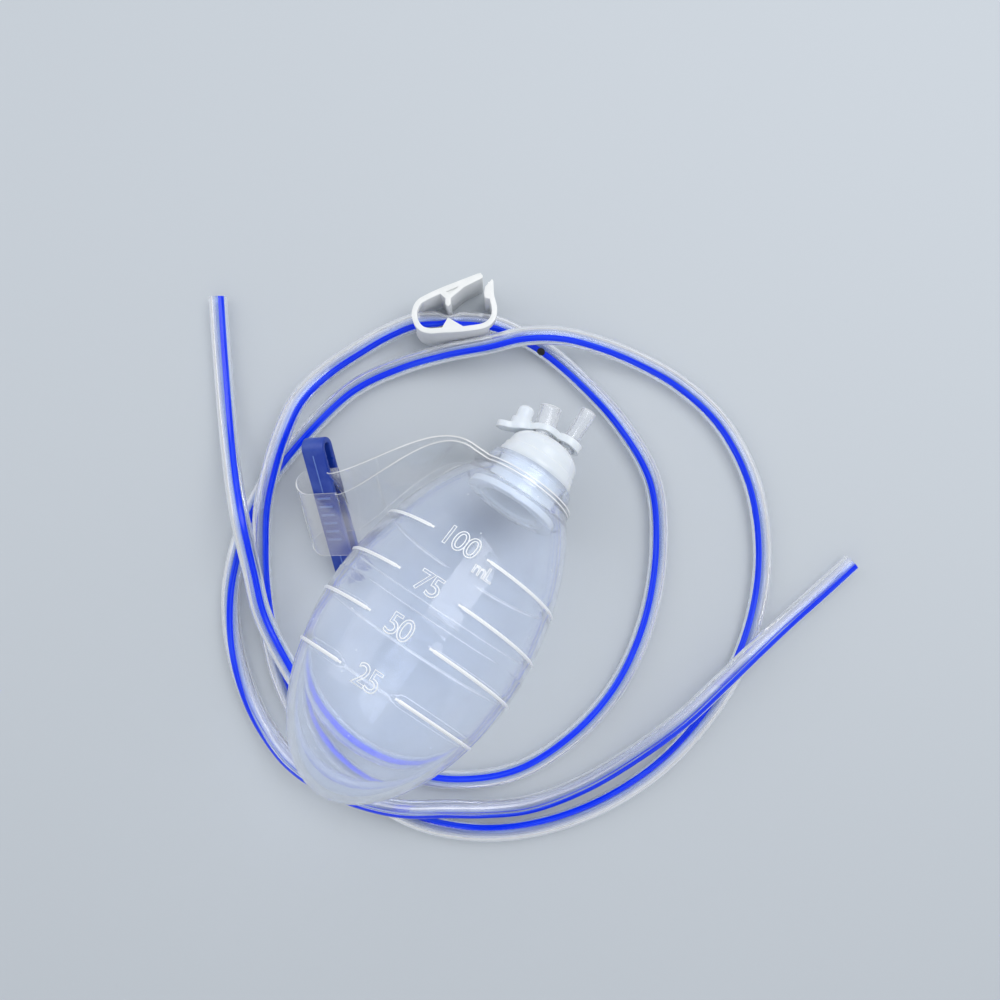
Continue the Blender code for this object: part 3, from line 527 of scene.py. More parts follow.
def add_node(tree, kind, inputs=(), **settings):
    """Adds a node with its settings. Its inputs are named or in order; each is a value, the socket that feeds it, or
    the node whose first output does."""
    node = tree.nodes.new("ShaderNode" + kind)
    for name, value in settings.items():
        setattr(node, name, value)
    for name, value in inputs.items() if isinstance(inputs, dict) else enumerate(inputs):
        if isinstance(value, bpy.types.Node):
            value = value.outputs[0]
        if isinstance(value, bpy.types.NodeSocket):
            tree.links.new(value, node.inputs[name])
        else:
            node.inputs[name].default_value = value
    return node


def new_material(name, attribute=None):
    """An empty material, what adds a node to it, and its coordinates: those of the piece, or a mesh attribute."""
    made = bpy.data.materials.new(name)
    made.use_nodes = True
    made.node_tree.nodes.clear()
    add = partial(add_node, made.node_tree)
    if attribute:
        return made, add, add("Attribute", attribute_name=attribute).outputs["Vector"]
    return made, add, add("TexCoord").outputs["Object"]


def end_material(made, look, passed=0.0):
    """Ends a material in its shader. A thin clear wall passes a share of the lamps' light, so its shadow is faint."""
    add = partial(add_node, made.node_tree)
    shader = add("BsdfPrincipled", look)
    if passed:
        ray = add("LightPath").outputs["Is Shadow Ray"]
        share = add("Math", (ray, passed), operation="MULTIPLY")
        shader = add("MixShader", (share, shader, add("BsdfTransparent")))
    add("OutputMaterial", {"Surface": shader})
    return made


def milky_rims(add, clear, blend, weight, *speck):
    """How clear a wall looks: less so where it is seen aslant, or where a speck lies on it."""
    facing = add("LayerWeight", {"Blend": blend}).outputs["Facing"]
    rim = add("Math", (facing, weight, *speck), operation="MULTIPLY_ADD" if speck else "MULTIPLY")
    return add("Math", (clear, rim), operation="SUBTRACT", use_clamp=True)


def silicone(name, code, clear, roughness, passed):
    """Clear silicone rubber, blow moulded: glossy with a faint milky cloud that thickens where the wall is seen
    aslant, long slow ripples along the bulb where the wall was blown, and a few specks of dust on it."""
    made, add, place = new_material(name)
    cloud = add("TexNoise", {"Vector": place, "Scale": 90.0, "Detail": 4.0})
    dust = add("TexVoronoi", {"Vector": place, "Scale": 170.0})
    speck = add("MapRange", (dust, 0.02, 0.045, 0.9, 0.0))
    haze = add("MapRange", (cloud, *NOISE_SPAN, clear - 0.05, clear + 0.03))
    stretched = add("Mapping", {"Vector": place, "Scale": (1.0, 0.16, 1.0)})
    wave = add("TexNoise", {"Vector": stretched, "Scale": 150.0, "Detail": 1.0})
    return end_material(made, {
        "Base Color": linear(code),
        "Transmission Weight": milky_rims(add, haze, 0.15, 0.7, speck),
        "Roughness": add("MapRange", (cloud, *NOISE_SPAN, roughness, roughness + 0.05)),
        "IOR": 1.41,
        "Normal": add("Bump", {"Height": wave, "Strength": 0.1, "Distance": 0.4 * MM}),
    }, passed)


def polyethylene(name, code, painted_square_on_shade):
    """Milky polyethylene, injection moulded, under a satin skin with faint flow marks. Its colour is painted by view:
    a darker painted shade where a face is seen square on and a painted white rim light where it is seen aslant,
    standing in for light that soaks into the milky wall."""
    made, add, place = new_material(name)
    flow = add("TexNoise", {"Vector": place, "Scale": 110.0, "Detail": 1.5})
    facing = add("LayerWeight", {"Blend": 0.45}).outputs["Facing"]
    # Painted light: square-on faces take the darker painted shade and faces seen aslant a painted white rim light, and
    # the flow marks shift the tone as well
    glow = add("Math", (flow, 0.35, facing), operation="MULTIPLY_ADD", use_clamp=True)
    tint = add("Mix", {0: glow, 6: linear(painted_square_on_shade), 7: linear(code)}, data_type="RGBA")
    return end_material(made, {
        "Base Color": tint.outputs[2],
        "Subsurface Weight": 0.4,
        "Subsurface Radius": (1.3 * MM, 1.4 * MM, 1.6 * MM),
        "Subsurface Scale": 1.0,
        "Roughness": add("MapRange", (flow, *NOISE_SPAN, 0.24, 0.32)),
        "IOR": 1.51,
        "Coat Weight": 0.15,
    }, 0.4)


def vinyl(name, code, clear, roughness=0.02):
    """Clear soft vinyl: a smooth glossy skin over a faintly hazy wall, which turns milky at its rims."""
    made, add, place = new_material(name)
    cloud = add("TexNoise", {"Vector": place, "Scale": 120.0, "Detail": 3.0})
    haze = add("MapRange", (cloud, *NOISE_SPAN, clear - 0.05, clear + 0.04))
    return end_material(made, {
        "Base Color": linear(code),
        "Transmission Weight": milky_rims(add, haze, 0.4, 0.4),
        "Roughness": add("MapRange", (cloud, *NOISE_SPAN, roughness, roughness + 0.04)),
        "IOR": 1.5,
    }, 0.75)


def drawn_vinyl(name, code, glow, clear):
    """Clear soft vinyl, extruded: pale streaks run along the tube, partly fine die lines and partly painted highlight
    lines that stand in for reflections of long lamps. Its rims turn milky, and the wall beside the stripe takes on
    some of its blue as a painted glow of the stripe."""
    made, add, along = new_material(name, "lengthwise")
    lines = add("TexNoise", {"Vector": along, "Scale": 3.2, "Detail": 1.0})
    # Pale streaks, partly die lines and partly painted highlight lines
    streak = add("MapRange", (lines, 0.46, 0.66, clear, clear - 0.3))
    around = add("SeparateXYZ", (along,))
    # Painted glow of the stripe in the clear wall beside it
    beside = add("MapRange", (around.outputs["Y"], 0.55, 0.95, 0.0, 0.85))
    tint = add("Mix", {0: beside, 6: linear(code), 7: linear(glow)}, data_type="RGBA")
    return end_material(made, {
        "Base Color": tint.outputs[2],
        "Transmission Weight": milky_rims(add, streak, 0.3, 0.35),
        "Roughness": 0.03,
        "IOR": 1.5,
    }, 0.75)


def stripe_vinyl(name, code, pale):
    """Blue vinyl drawn into the tube's wall: saturated and smooth, with paler streaks along it."""
    made, add, along = new_material(name, "lengthwise")
    wave = add("TexNoise", {"Vector": along, "Scale": 6.0, "Detail": 2.0})
    streak = add("MapRange", (wave, 0.45, 0.7, 0.0, 0.55))
    tint = add("Mix", {0: streak, 6: linear(code), 7: linear(pale)}, data_type="RGBA")
    return end_material(made, {
        "Base Color": tint.outputs[2],
        "Roughness": add("MapRange", (wave, *NOISE_SPAN, 0.12, 0.2)),
        "Specular IOR Level": 0.3,
    })


def coloured_plastic(name, code, paler_tone, roughness, soak=0.0):
    """Injection moulded plastic: a fine spark-eroded grain, slow sink marks and a paler bloom of wear that comes and
    goes at random.
    """
    made, add, place = new_material(name)
    sink = add("TexNoise", {"Vector": place, "Scale": 160.0, "Detail": 3.0})
    grain = add("TexNoise", {"Vector": place, "Scale": 3200.0, "Detail": 2.0})
    bloom = add("MapRange", (sink, 0.45, 0.75, 0.0, 0.35))
    tint = add("Mix", {0: bloom, 6: linear(code), 7: linear(paler_tone)}, data_type="RGBA")
    return end_material(made, {
        "Base Color": tint.outputs[2],
        "Subsurface Weight": soak,
        "Subsurface Radius": (0.9 * MM, 0.9 * MM, 0.9 * MM),
        "Subsurface Scale": 1.0,
        "Roughness": add("MapRange", (sink, *NOISE_SPAN, roughness - 0.04, roughness + 0.08)),
        "IOR": 1.5,
        "Normal": add("Bump", {"Height": grain, "Strength": 0.12, "Distance": 0.04 * MM}),
    })


def clear_film(name, code, clear, passed):
    """Clear vinyl film, calendered: glossy and nearly invisible, with soft creases where it has been folded and broad
    milky areas of pale sheen, a painted reflection that stands in for soft broad reflections. Its cut edge scatters
    light and shows as a thin pale line."""
    made, add, place = new_material(name)
    crease = add("TexNoise", {"Vector": place, "Scale": 85.0, "Detail": 2.0})
    scuff = add("TexNoise", {"Vector": place, "Scale": 700.0, "Detail": 4.0})
    painted_reflection_patch = add("TexNoise", {"Vector": place, "Scale": 75.0, "Detail": 0.0})
    return end_material(made, {
        "Base Color": linear(code),
        # Painted reflection: broad milky areas stand in for soft reflections on the film
        "Transmission Weight": add("MapRange", (painted_reflection_patch, 0.48, 0.56, clear, clear - 0.09)),
        "Roughness": add("MapRange", (scuff, *NOISE_SPAN, 0.01, 0.05)),
        "IOR": 1.46,
        "Normal": add("Bump", {"Height": crease, "Strength": 0.2, "Distance": 1.0 * MM}),
    }, passed)


def matt_board(name, code):
    """Painted board, matt: a plain pale ground with a slow mottle in its sheen."""
    made, add, place = new_material(name)
    mottle = add("TexNoise", {"Vector": place, "Scale": 6.0, "Detail": 3.0})
    return end_material(made, {
        "Base Color": linear(code),
        "Roughness": add("MapRange", (mottle, *NOISE_SPAN, 0.82, 0.9)),
        "Specular IOR Level": 0.2,
    })


# Operators


class DRAINBULB_OT_stage(bpy.types.Operator):
    """Pale floor, soft light and the camera over the set"""

    bl_idname = "drainbulb.stage"
    bl_label = "Stage"

    def execute(self, context):
        settings = context.scene.drain_bulb
        stage = settings.stage
        floor = add_piece("floor", bpy.ops.mesh.primitive_plane_add, size=6)
        floor.data.materials.append(matt_board("painted board, matt", settings.finish.floor))

        world = bpy.data.worlds.new("studio")
        context.scene.world = world
        world.use_nodes = True
        background = world.node_tree.nodes["Background"]
        background.inputs["Color"].default_value = linear("F1F4F8")
        background.inputs["Strength"].default_value = stage.sky

        lamps = (
            ("key_light", (0.07, 0.3, 0.45), 0.34, stage.key_power),
            ("fill_light", (-0.4, -0.05, 0.34), 0.4, stage.fill_power),
        )
        for name, spot, size, power in lamps:
            lamp = bpy.data.lights.new(name, "AREA")
            lamp.energy = power
            lamp.size = size
            towards = LIT_POINT - Vector(spot)
            self.hang(context, name, lamp, spot, towards.to_track_quat("-Z", "Y").to_euler())

        camera = bpy.data.cameras.new("camera")
        camera.lens = stage.lens
        camera.sensor_width = 36
        camera.clip_start = 0.01
        turn = (0, 0, stage.camera_turn)
        context.scene.camera = self.hang(context, "camera", camera, stage.camera_place, turn)
        context.scene.view_settings.view_transform = "Standard"
        return {"FINISHED"}

    def hang(self, context, name, held, spot, turn):
        """Puts a lamp or the camera in its place."""
        holder = bpy.data.objects.new(name, held)
        context.collection.objects.link(holder)
        holder.location = spot
        holder.rotation_euler = turn
        return holder


def tube_rings():
    """The tube's rings: each a centre, its side and upward directions, the distance run and the pinch there."""
    points = [Vector((x, y, *(height or (TUBE_REST,)))) * MM for x, y, *height in TUBE_ROUTE]
    fine = smooth_curve(points, ROUTE_STEPS)
    run = [0.0]
    for a, b in zip(fine, fine[1:]):
        run.append(run[-1] + (b - a).length)
    jaw = run[JAW_POINT * ROUTE_STEPS]
    marks = [0.0]
    while marks[-1] < run[-1] - RING_PITCH / 2:
        marks.append(marks[-1] + (PINCH_PITCH if abs(marks[-1] - jaw) < 5 * MM else RING_PITCH))
    marks.append(run[-1])
    centres = []
    k = 0
    for mark in marks:
        while k < len(run) - 2 and run[k + 1] < mark:
            k += 1
        centres.append(fine[k].lerp(fine[k + 1], (mark - run[k]) / (run[k + 1] - run[k])))
    rings = []
    for k, (mark, centre) in enumerate(zip(marks, centres)):
        ahead = heading(centres, k)
        side = ahead.cross(Vector((0, 0, 1))).normalized()
        rings.append((centre, side, side.cross(ahead), mark, math.exp(-(((mark - jaw) / PINCH_LENGTH) ** 2))))
    return rings, run[MARK_POINT * ROUTE_STEPS] + 0.5 * MM


def stripe_drift(tube, mark):
    """Where the stripe runs round the tube at a distance along it: it wanders as the tube lies twisted, and turns
    over to the outside of the loops under the bulb's tip."""
    late = min(1.0, max(0.0, (mark - TWIST_START) / TWIST_LENGTH))
    return tube.stripe_turn + STRIPE_WANDER * math.sin(mark / WANDER_LENGTH) + eased(0, LATE_TWIST, late)


def printed_dot(tube, rings, at):
    """A round black depth mark printed over the stripe, wrapped on the tube at a distance along it."""
    centre, side, up, mark, _ = min(rings, key=lambda ring: abs(ring[3] - at))
    ahead = up.cross(side)
    disc = {"vertices": 28, "radius": DOT_RADIUS, "fill_type": "NGON"}
    dot = add_piece("tube_depth_mark", bpy.ops.mesh.primitive_circle_add, **disc)
    edit_all()
    for _ in range(4):
        bpy.ops.mesh.inset(thickness=0.24 * MM)
    bpy.ops.object.mode_set(mode="OBJECT")
    reach = tube.radius + INK
    for vert in dot.data.vertices:
        turn = stripe_drift(tube, mark) + vert.co.x / reach
        vert.co = centre + ahead * vert.co.y + side * (reach * math.sin(turn)) + up * (reach * math.cos(turn))
    modify(dot, "SOLIDIFY", thickness=INK, offset=0)
    smooth(dot)
    return dot


def tube_mesh(tube, rings):
    """A hollow tube through its rings, whose first columns of faces carry the stripe. Its lengthwise attribute says
    where a point lies round the stripe, as sine and cosine, and along the tube."""
    sides = tube.sides
    verts, faces, lengthwise = [], [], []
    for wall in (0, tube.wall):
        radius = tube.radius - wall
        for centre, side, up, mark, pinch in rings:
            across = radius * (1 - pinch * tube.pinch * (1.7 if wall else 1.0))
            high = radius * (1 + 0.3 * pinch)
            for j in range(sides):
                around = math.tau * (j - STRIPE_FACES / 2) / sides
                turn = stripe_drift(tube, mark) + around
                verts.append(centre + side * (across * math.sin(turn)) + up * (high * math.cos(turn)))
                lengthwise += (math.sin(around), math.cos(around), mark / STREAK_LENGTH)
    count = len(rings)
    inner = count * sides
    for k in range(count - 1):
        for j in range(sides):
            here, there = k * sides + j, k * sides + (j + 1) % sides
            faces.append((here, here + sides, there + sides, there))
            faces.append((inner + here, inner + there, inner + there + sides, inner + here + sides))
    last = (count - 1) * sides
    for j in range(sides):
        there = (j + 1) % sides
        faces.append((j, there, inner + there, inner + j))
        faces.append((last + there, last + j, inner + last + j, inner + last + there))
    mesh = bpy.data.meshes.new("drain_tube")
    mesh.from_pydata(verts, [], faces)
    columns = [n // 2 % sides for n in range(len(faces))]
    mesh.polygons.foreach_set("material_index", [int(column < STRIPE_FACES) for column in columns])
    mesh.attributes.new("lengthwise", "FLOAT_VECTOR", "POINT").data.foreach_set("vector", lengthwise)
    mesh.shade_smooth()
    mesh.set_sharp_from_angle(angle=math.radians(50))
    return mesh


def clamp_outlines(tube):
    """The clamp's flat outlines: its band, and what is moulded to it."""
    line = smooth_curve([Vector((x, y, 0)) * MM for x, y in CLAMP_LINE], 6)
    left, right = [], []
    for k, point in enumerate(line):
        ahead = heading(line, k)
        across = Vector((-ahead.y, ahead.x, 0)) * (tube.clamp_band / 2)
        left.append((point + across).xy)
        right.append((point - across).xy)
    band = left + right[::-1]
    u, v = NOSE_TIP
    base = v - JAW_GAP
    others = (
        ((6.65, 12.3), (7.3, 11.5), (7.2, 10.9), (2.4, 8.4), (-1.2, 5.3), (-1.9, 6.1), (1.6, 9.1)),
        ((-4.6, 7.2), (-3.2, 8.0), (-1.1, 5.9), (-2.3, 5.2)),
        ((9.75, 10.6), (7.95, 8.5), (7.65, 6.8), (7.85, 5.5), (9.0, 5.2), (9.9, 6.2), (10.1, 10.0)),
        ((u - 0.7, v + 0.7), (u, v), (u + 0.7, v + 0.7), (u + 0.7, 6.0), (u - 0.7, 6.0)),
        ((u, base), (u - 1.9, -3.3), (u + 5.0, -2.9)),
    )
    return band, [[(x * MM, y * MM) for x, y in points] for points in others]


class DRAINBULB_OT_tube(bpy.types.Operator):
    """The striped drain tube in its loops, and the pinch clamp on it"""

    bl_idname = "drainbulb.tube"
    bl_label = "Drain Tube and Clamp"

    def execute(self, context):
        settings = context.scene.drain_bulb
        tube, finish = settings.tube, settings.finish
        rings, dot_at = tube_rings()
        hose = bpy.data.objects.new("drain_hose", tube_mesh(tube, rings))
        context.collection.objects.link(hose)
        clear = drawn_vinyl("vinyl, clear, extruded", finish.clear, finish.glow, 0.94)
        stripe = stripe_vinyl("vinyl, blue marker stripe, extruded", finish.stripe, "3C68FF")
        settle(hose, Matrix(), "bulb_set", (clear, stripe), ["drain_tube"])

        dot = printed_dot(tube, rings, dot_at)
        ink = coloured_plastic("printing ink, black", "0B0C10", "23252B", 0.35)
        settle(dot, Matrix(), "bulb_set", (ink,))

        band, others = clamp_outlines(tube)
        height = tube.clamp_height
        clamp = flat_piece("tube_clamp", band, 0, height)
        for outline in others:
            combine(clamp, flat_piece("clamp_rib", outline, 0, height), "UNION")
        pocket = [(x * MM, y * MM) for x, y in CLAMP_POCKET]
        combine(clamp, flat_piece("clamp_pocket_floor", pocket, CLAMP_SKIN, height - 0.7 * MM), "UNION")
        middle = (NOSE_TIP[1] - JAW_GAP + JAW_GAP / 3) * MM
        across = (middle - 3.2 * MM, middle + 3.2 * MM)
        for along in ((-15 * MM, -5 * MM), (6 * MM, 15 * MM)):
            combine(clamp, block("clamp_window", along, across, CLAMP_SKIN, 8.8 * MM))
        soften(clamp, 0.22 * MM)
        place = Matrix.Translation(CLAMP_PLACE) @ Euler((-tube.clamp_lean, 0, tube.clamp_turn)).to_matrix().to_4x4()
        white = coloured_plastic("polypropylene, white, moulded", finish.clamp, "FFFFFF", 0.36, 0.25)
        settle(clamp, place, "bulb_set", (white,), ["pinch_clamp"])
        return {"FINISHED"}


def bulb_rows(bulb):
    """The bulb's outer profile from the tip's pole to the shoulder: plain radius, height of a raised line, station."""
    lines = [(station, bulb.rib_height, bulb.rib_width) for station, _ in GRADUATIONS]
    lines.append((PARTING_STATION, PARTING_HEIGHT, bulb.rib_width / 2))
    tip = [-bulb.tip_reach * math.sin(math.radians(a)) ** (2 / bulb.fullness) for a in range(89, 0, -3)]
    neck = [SHOULDER_END * math.sin(math.radians(a)) for a in range(0, 91, 4)] + [SHOULDER_END]
    plain = {round(s, 7) for s in tip + neck if all(abs(s - at) > 1.2 * width for at, _, width in lines)}
    rows = [(s, 0.0) for s in plain]
    for at, height, width in lines:
        for k in range(-4, 5):
            rows.append((at + width * k / 5, height * math.cos(math.pi * k / 8) ** 2))
    return [(bulb_radius(bulb, s), height, s) for s, height in sorted(rows)]


class DRAINBULB_OT_bulb(bpy.types.Operator):
    """The squeeze bulb with its graduations, collar and strap groove"""

    bl_idname = "drainbulb.bulb"
    bl_label = "Bulb"

    def execute(self, context):
        settings = context.scene.drain_bulb
        bulb, finish = settings.bulb, settings.finish
        collar = NECK_RADIUS + COLLAR_RISE
        lip = bulb_radius(bulb, SHOULDER_END)
        outside = [(0, -bulb.tip_reach)] + [(radius + rise, s) for radius, rise, s in bulb_rows(bulb)]
        neck = [
            (lip - 0.12 * MM, SHOULDER_END + 0.3 * MM), (lip - LIP_THICKNESS, GROOVE_START),
            (NECK_RADIUS, GROOVE_START), (NECK_RADIUS, GROOVE_END), (collar - COLLAR_RISE / 3, GROOVE_END),
            (collar, GROOVE_END + COLLAR_RISE / 2), (collar, NECK_END - 3 * COLLAR_RISE),
            (collar - COLLAR_RISE / 2, NECK_END - 2.4 * COLLAR_RISE),
            (collar - COLLAR_RISE / 2, NECK_END - COLLAR_RISE),
            (NECK_RADIUS, NECK_END), (NECK_BORE, NECK_END), (NECK_BORE, LEDGE),
        ]
        radius, neck_reach, tip_reach = (reach - bulb.wall for reach in (bulb.radius, bulb.neck_reach, bulb.tip_reach))
        stations = [LEDGE * math.sin(math.radians(a)) for a in range(90, -1, -5)]
        inside = [(radius * math.sqrt(1 - (s / neck_reach) ** bulb.fullness), s) for s in stations]
        for a in map(math.radians, range(4, 89, 4)):
            inside.append((radius * math.cos(a), -tip_reach * math.sin(a) ** (2 / bulb.fullness)))
        inside.append((0, -tip_reach))
        shell = spin_piece("bulb_shell", outside + neck + inside, bulb.sides)

        place = bulb_place(bulb)
        back = place.inverted()
        middle = math.atan2(-math.cos(bulb.number_turn), -math.sin(bulb.number_turn))
        for vert in shell.data.vertices:
            x, y, station = vert.co
            plain = bulb_radius(bulb, station)
            reach = math.hypot(x, y)
            if reach > plain and any(abs(station - at) < bulb.rib_width for at, _ in GRADUATIONS):
                away = abs((math.atan2(y, x) - middle + math.pi) % math.tau - math.pi)
                rise = eased(0, 1, min(1.0, max(0.0, (away - bulb.number_gap) / RING_FADE)))
                shrink = (plain + (reach - plain) * rise) / reach
                vert.co = (x * shrink, y * shrink, station)
            world = place @ vert.co
            if world.z < FLAT_LIFT:
                world.z = FLAT_LIFT
                vert.co = back @ world
        soften(shell, 0.12 * MM, limit=50)
        for face in shell.data.polygons:
            x, y, station = face.center
            proud = math.hypot(x, y) - bulb_radius(bulb, station)
            face.material_index = int(-bulb.tip_reach < station < SHOULDER_END and proud > PROUD)
        wall = silicone("silicone, clear, blow moulded", finish.silicone, 0.95, 0.02, 0.97)
        ridge = silicone("silicone, frosted raised line", finish.ridge, 0.04, 0.3, 0.5)
        settle(shell, place, "bulb_set", (wall, ridge), ["bulb"])

        marks = [self.raised(bulb, figures, bulb.number_size, station, 0.0) for station, figures in GRADUATIONS]
        marks.append(self.raised(bulb, "mL", 0.62 * bulb.number_size, 17.4 * MM, math.radians(19.5)))
        numbers = marks[0]
        join(numbers, marks[1:])
        numbers.name = numbers.data.name = "bulb_numbers"
        numbers.data.shade_smooth()
        settle(numbers, place, "bulb_set", (ridge,))
        return {"FINISHED"}

    def raised(self, bulb, figures, size, station, turn):
        """Plain figures as a raised outline, wrapped on the bulb at a station and a turn from the numbers' line."""
        letters = add_piece("bulb_figures", bpy.ops.object.text_add).data
        letters.body = figures
        letters.size = size
        letters.space_character = 0.86
        letters.align_x = letters.align_y = "CENTER"
        bpy.ops.object.convert(target="CURVE")
        outline = bpy.context.object.data
        outline.dimensions = "3D"
        outline.fill_mode = "FULL"
        outline.resolution_u = 6
        outline.bevel_depth = bulb.number_line
        outline.bevel_resolution = 2
        bpy.ops.object.convert(target="MESH")
        mark = bpy.context.object
        for vert in mark.data.vertices:
            x, y, z = vert.co
            at = station + y
            radius = bulb_radius(bulb, at)
            a = turn - bulb.number_turn + x / radius
            reach = radius + 0.05 * MM + z
            vert.co = (reach * math.sin(a), -reach * math.cos(a), at)
        return mark


class DRAINBULB_OT_cap(bpy.types.Operator):
    """The milky port cap with its flange, skirt and dome"""

    bl_idname = "drainbulb.cap"
    bl_label = "Port Cap"

    def execute(self, context):
        settings = context.scene.drain_bulb
        flange_low = FLANGE_TOP - FLANGE_THICKNESS
        flank = ((0.1, 0.1), (0.2, 0.3), (0.62, 0.36), (0.72, 0.62), (1.0, 0.7))
        profile = [(0, DOME_TOP)]
        profile += arc(DOME_BASE, DOME_RADIUS, DOME_RISE, 82, 0, 12)
        for out, down in flank:
            profile.append((DOME_RADIUS + out * (SKIRT_RADIUS - DOME_RADIUS), DOME_BASE - down * SKIRT_HEIGHT))
        profile += [
            (SKIRT_RADIUS, SKIRT_START), (PLUG_RADIUS, SKIRT_START), (PLUG_RADIUS, FLANGE_TOP),
            (FLANGE_RADIUS, FLANGE_TOP), (FLANGE_RADIUS, flange_low), (CAP_BORE + 2.4 * MM, flange_low),
            (CAP_BORE + 2.1 * MM, flange_low + 0.25 * MM), (CAP_BORE + 0.8 * MM, flange_low + 0.25 * MM),
            (CAP_BORE, flange_low + 0.9 * MM), (CAP_BORE, SKIRT_START),
        ]
        profile += arc(DOME_BASE, DOME_RADIUS - CAP_WALL, DOME_RISE - CAP_WALL, 0, 80, 8)
        profile.append((0, DOME_TOP - CAP_WALL))
        cap = spin_piece("cap_moulding", profile, 96)
        combine(cap, spout_rod("spout_hole", settings.ports))
        combine(cap, spigot_rod("spigot_hole"))
        notch = ((-0.9 * MM, 0.9 * MM), (-20 * MM, -11.7 * MM), flange_low - GAP, FLANGE_TOP + GAP)
        combine(cap, block("flange_notch", *notch))
        soften(cap, 0.18 * MM, limit=40)
        milky = polyethylene("polyethylene, milky, moulded", settings.finish.milky, settings.finish.painted_square_on_shade)
        settle(cap, bulb_place(settings.bulb), "bulb_set", (milky,), ["port_cap"])
        return {"FINISHED"}


def spout_frame(ports):
    """The spout's frame: its foot on the dome, Z along its leaning axis."""
    foot = Vector((SPOUT_OFFSET, 0, dome_height(SPOUT_OFFSET)))
    return Matrix.Translation(foot) @ Matrix.Rotation(-ports.spout_lean, 4, "Y")


def spout_rod(name, ports):
    """A rod along the spout, a gap wider than it, to cut with."""
    cutter = rod(name, SPOUT_RADIUS + GAP, -DOME_RISE, 8 * MM)
    cutter.data.transform(spout_frame(ports))
    return cutter


def spigot_rod(name):
    """A rod along the spigot, a gap wider than it, to cut with."""
    cutter = rod(name, SPIGOT_RADIUS + GAP, DOME_BASE, DOME_TOP + DOME_RISE)
    cutter.data.transform(SPIGOT_SHIFT)
    return cutter


class DRAINBULB_OT_ports(bpy.types.Operator):
    """The emptying spout, the inlet spigot and the valve on its foot"""

    bl_idname = "drainbulb.ports"
    bl_label = "Ports and Valve"

    def execute(self, context):
        settings = context.scene.drain_bulb
        ports = settings.ports
        place = bulb_place(settings.bulb)
        clear = vinyl("vinyl, clear, moulded", settings.finish.port, 0.86)
        frosted = vinyl("vinyl, clear, cut end", settings.finish.port, 0.35, 0.25)

        surface = dome_height(SPIGOT_OFFSET)
        inner_edge = SPIGOT_OFFSET + SPIGOT_RADIUS + SPIGOT_BEAD
        bead_low = dome_height(inner_edge, CAP_WALL) - GAP - BEAD_LENGTH
        foot = surface - SPIGOT_DEPTH
        bead = SPIGOT_RADIUS + SPIGOT_BEAD
        spout_bore, spout_end = SPOUT_RADIUS - ports.spout_wall, ports.spout_rise
        spigot_bore, spigot_end = SPIGOT_RADIUS - ports.spigot_wall, surface + ports.spigot_rise
        spout = (
            (SPOUT_RADIUS, -SPOUT_DEPTH), (SPOUT_RADIUS, 0), (SPOUT_RADIUS, spout_end), (spout_bore, spout_end),
            (spout_bore, 0), (spout_bore, -SPOUT_DEPTH),
        )
        spigot = (
            (spigot_bore, foot), (SPIGOT_RADIUS, foot), (SPIGOT_RADIUS, bead_low), (bead, bead_low),
            (bead, bead_low + 0.6 * BEAD_LENGTH), (SPIGOT_RADIUS, bead_low + BEAD_LENGTH),
            (SPIGOT_RADIUS, spigot_end), (spigot_bore, spigot_end),
        )
        aside = place @ SPIGOT_SHIFT
        for name, node, profile, sides, edge, end, spot in (
            ("spout_tube", "emptying_spout", spout, 64, 0.2 * MM, spout_end, place @ spout_frame(ports)),
            ("spigot_tube", "inlet_spigot", spigot, 56, 0.14 * MM, spigot_end, aside),
        ):
            port = spin_piece(name, profile, sides, closed=True)
            soften(port, edge)
            second_above(port, end - CUT_END)
            settle(port, spot, "bulb_set", (clear, frosted), [node])

        top = bead_low - GAP
        throat = foot - GAP
        ring = {"vertices": 40, "radius": SPIGOT_RADIUS + GAP + VALVE_WALL}
        valve = add_piece("duckbill_valve", bpy.ops.mesh.primitive_circle_add, **ring)
        valve.data.transform(Matrix.Translation((0, 0, top)))
        edit_all()
        extrude((0, 0, throat - top))
        width = 1.0
        for k in range(1, VALVE_STEPS + 1):
            extrude((0, 0, (top - VALVE_LENGTH - throat) / VALVE_STEPS))
            before, width = width, 1 - VALVE_TAPER * k / VALVE_STEPS
            bpy.ops.transform.resize(value=(1, width / before, 1), center_override=(0, 0, 0))
        bpy.ops.mesh.select_all(action="SELECT")
        bpy.ops.mesh.normals_make_consistent(inside=False)
        bpy.ops.object.mode_set(mode="OBJECT")
        modify(valve, "SOLIDIFY", thickness=VALVE_WALL, offset=-1)
        smooth(valve)
        soft = silicone("silicone, milky, moulded", "EDF2F5", 0.4, 0.25, 0.4)
        settle(valve, aside, "bulb_set", (soft,), ["non_return_valve"])
        return {"FINISHED"}


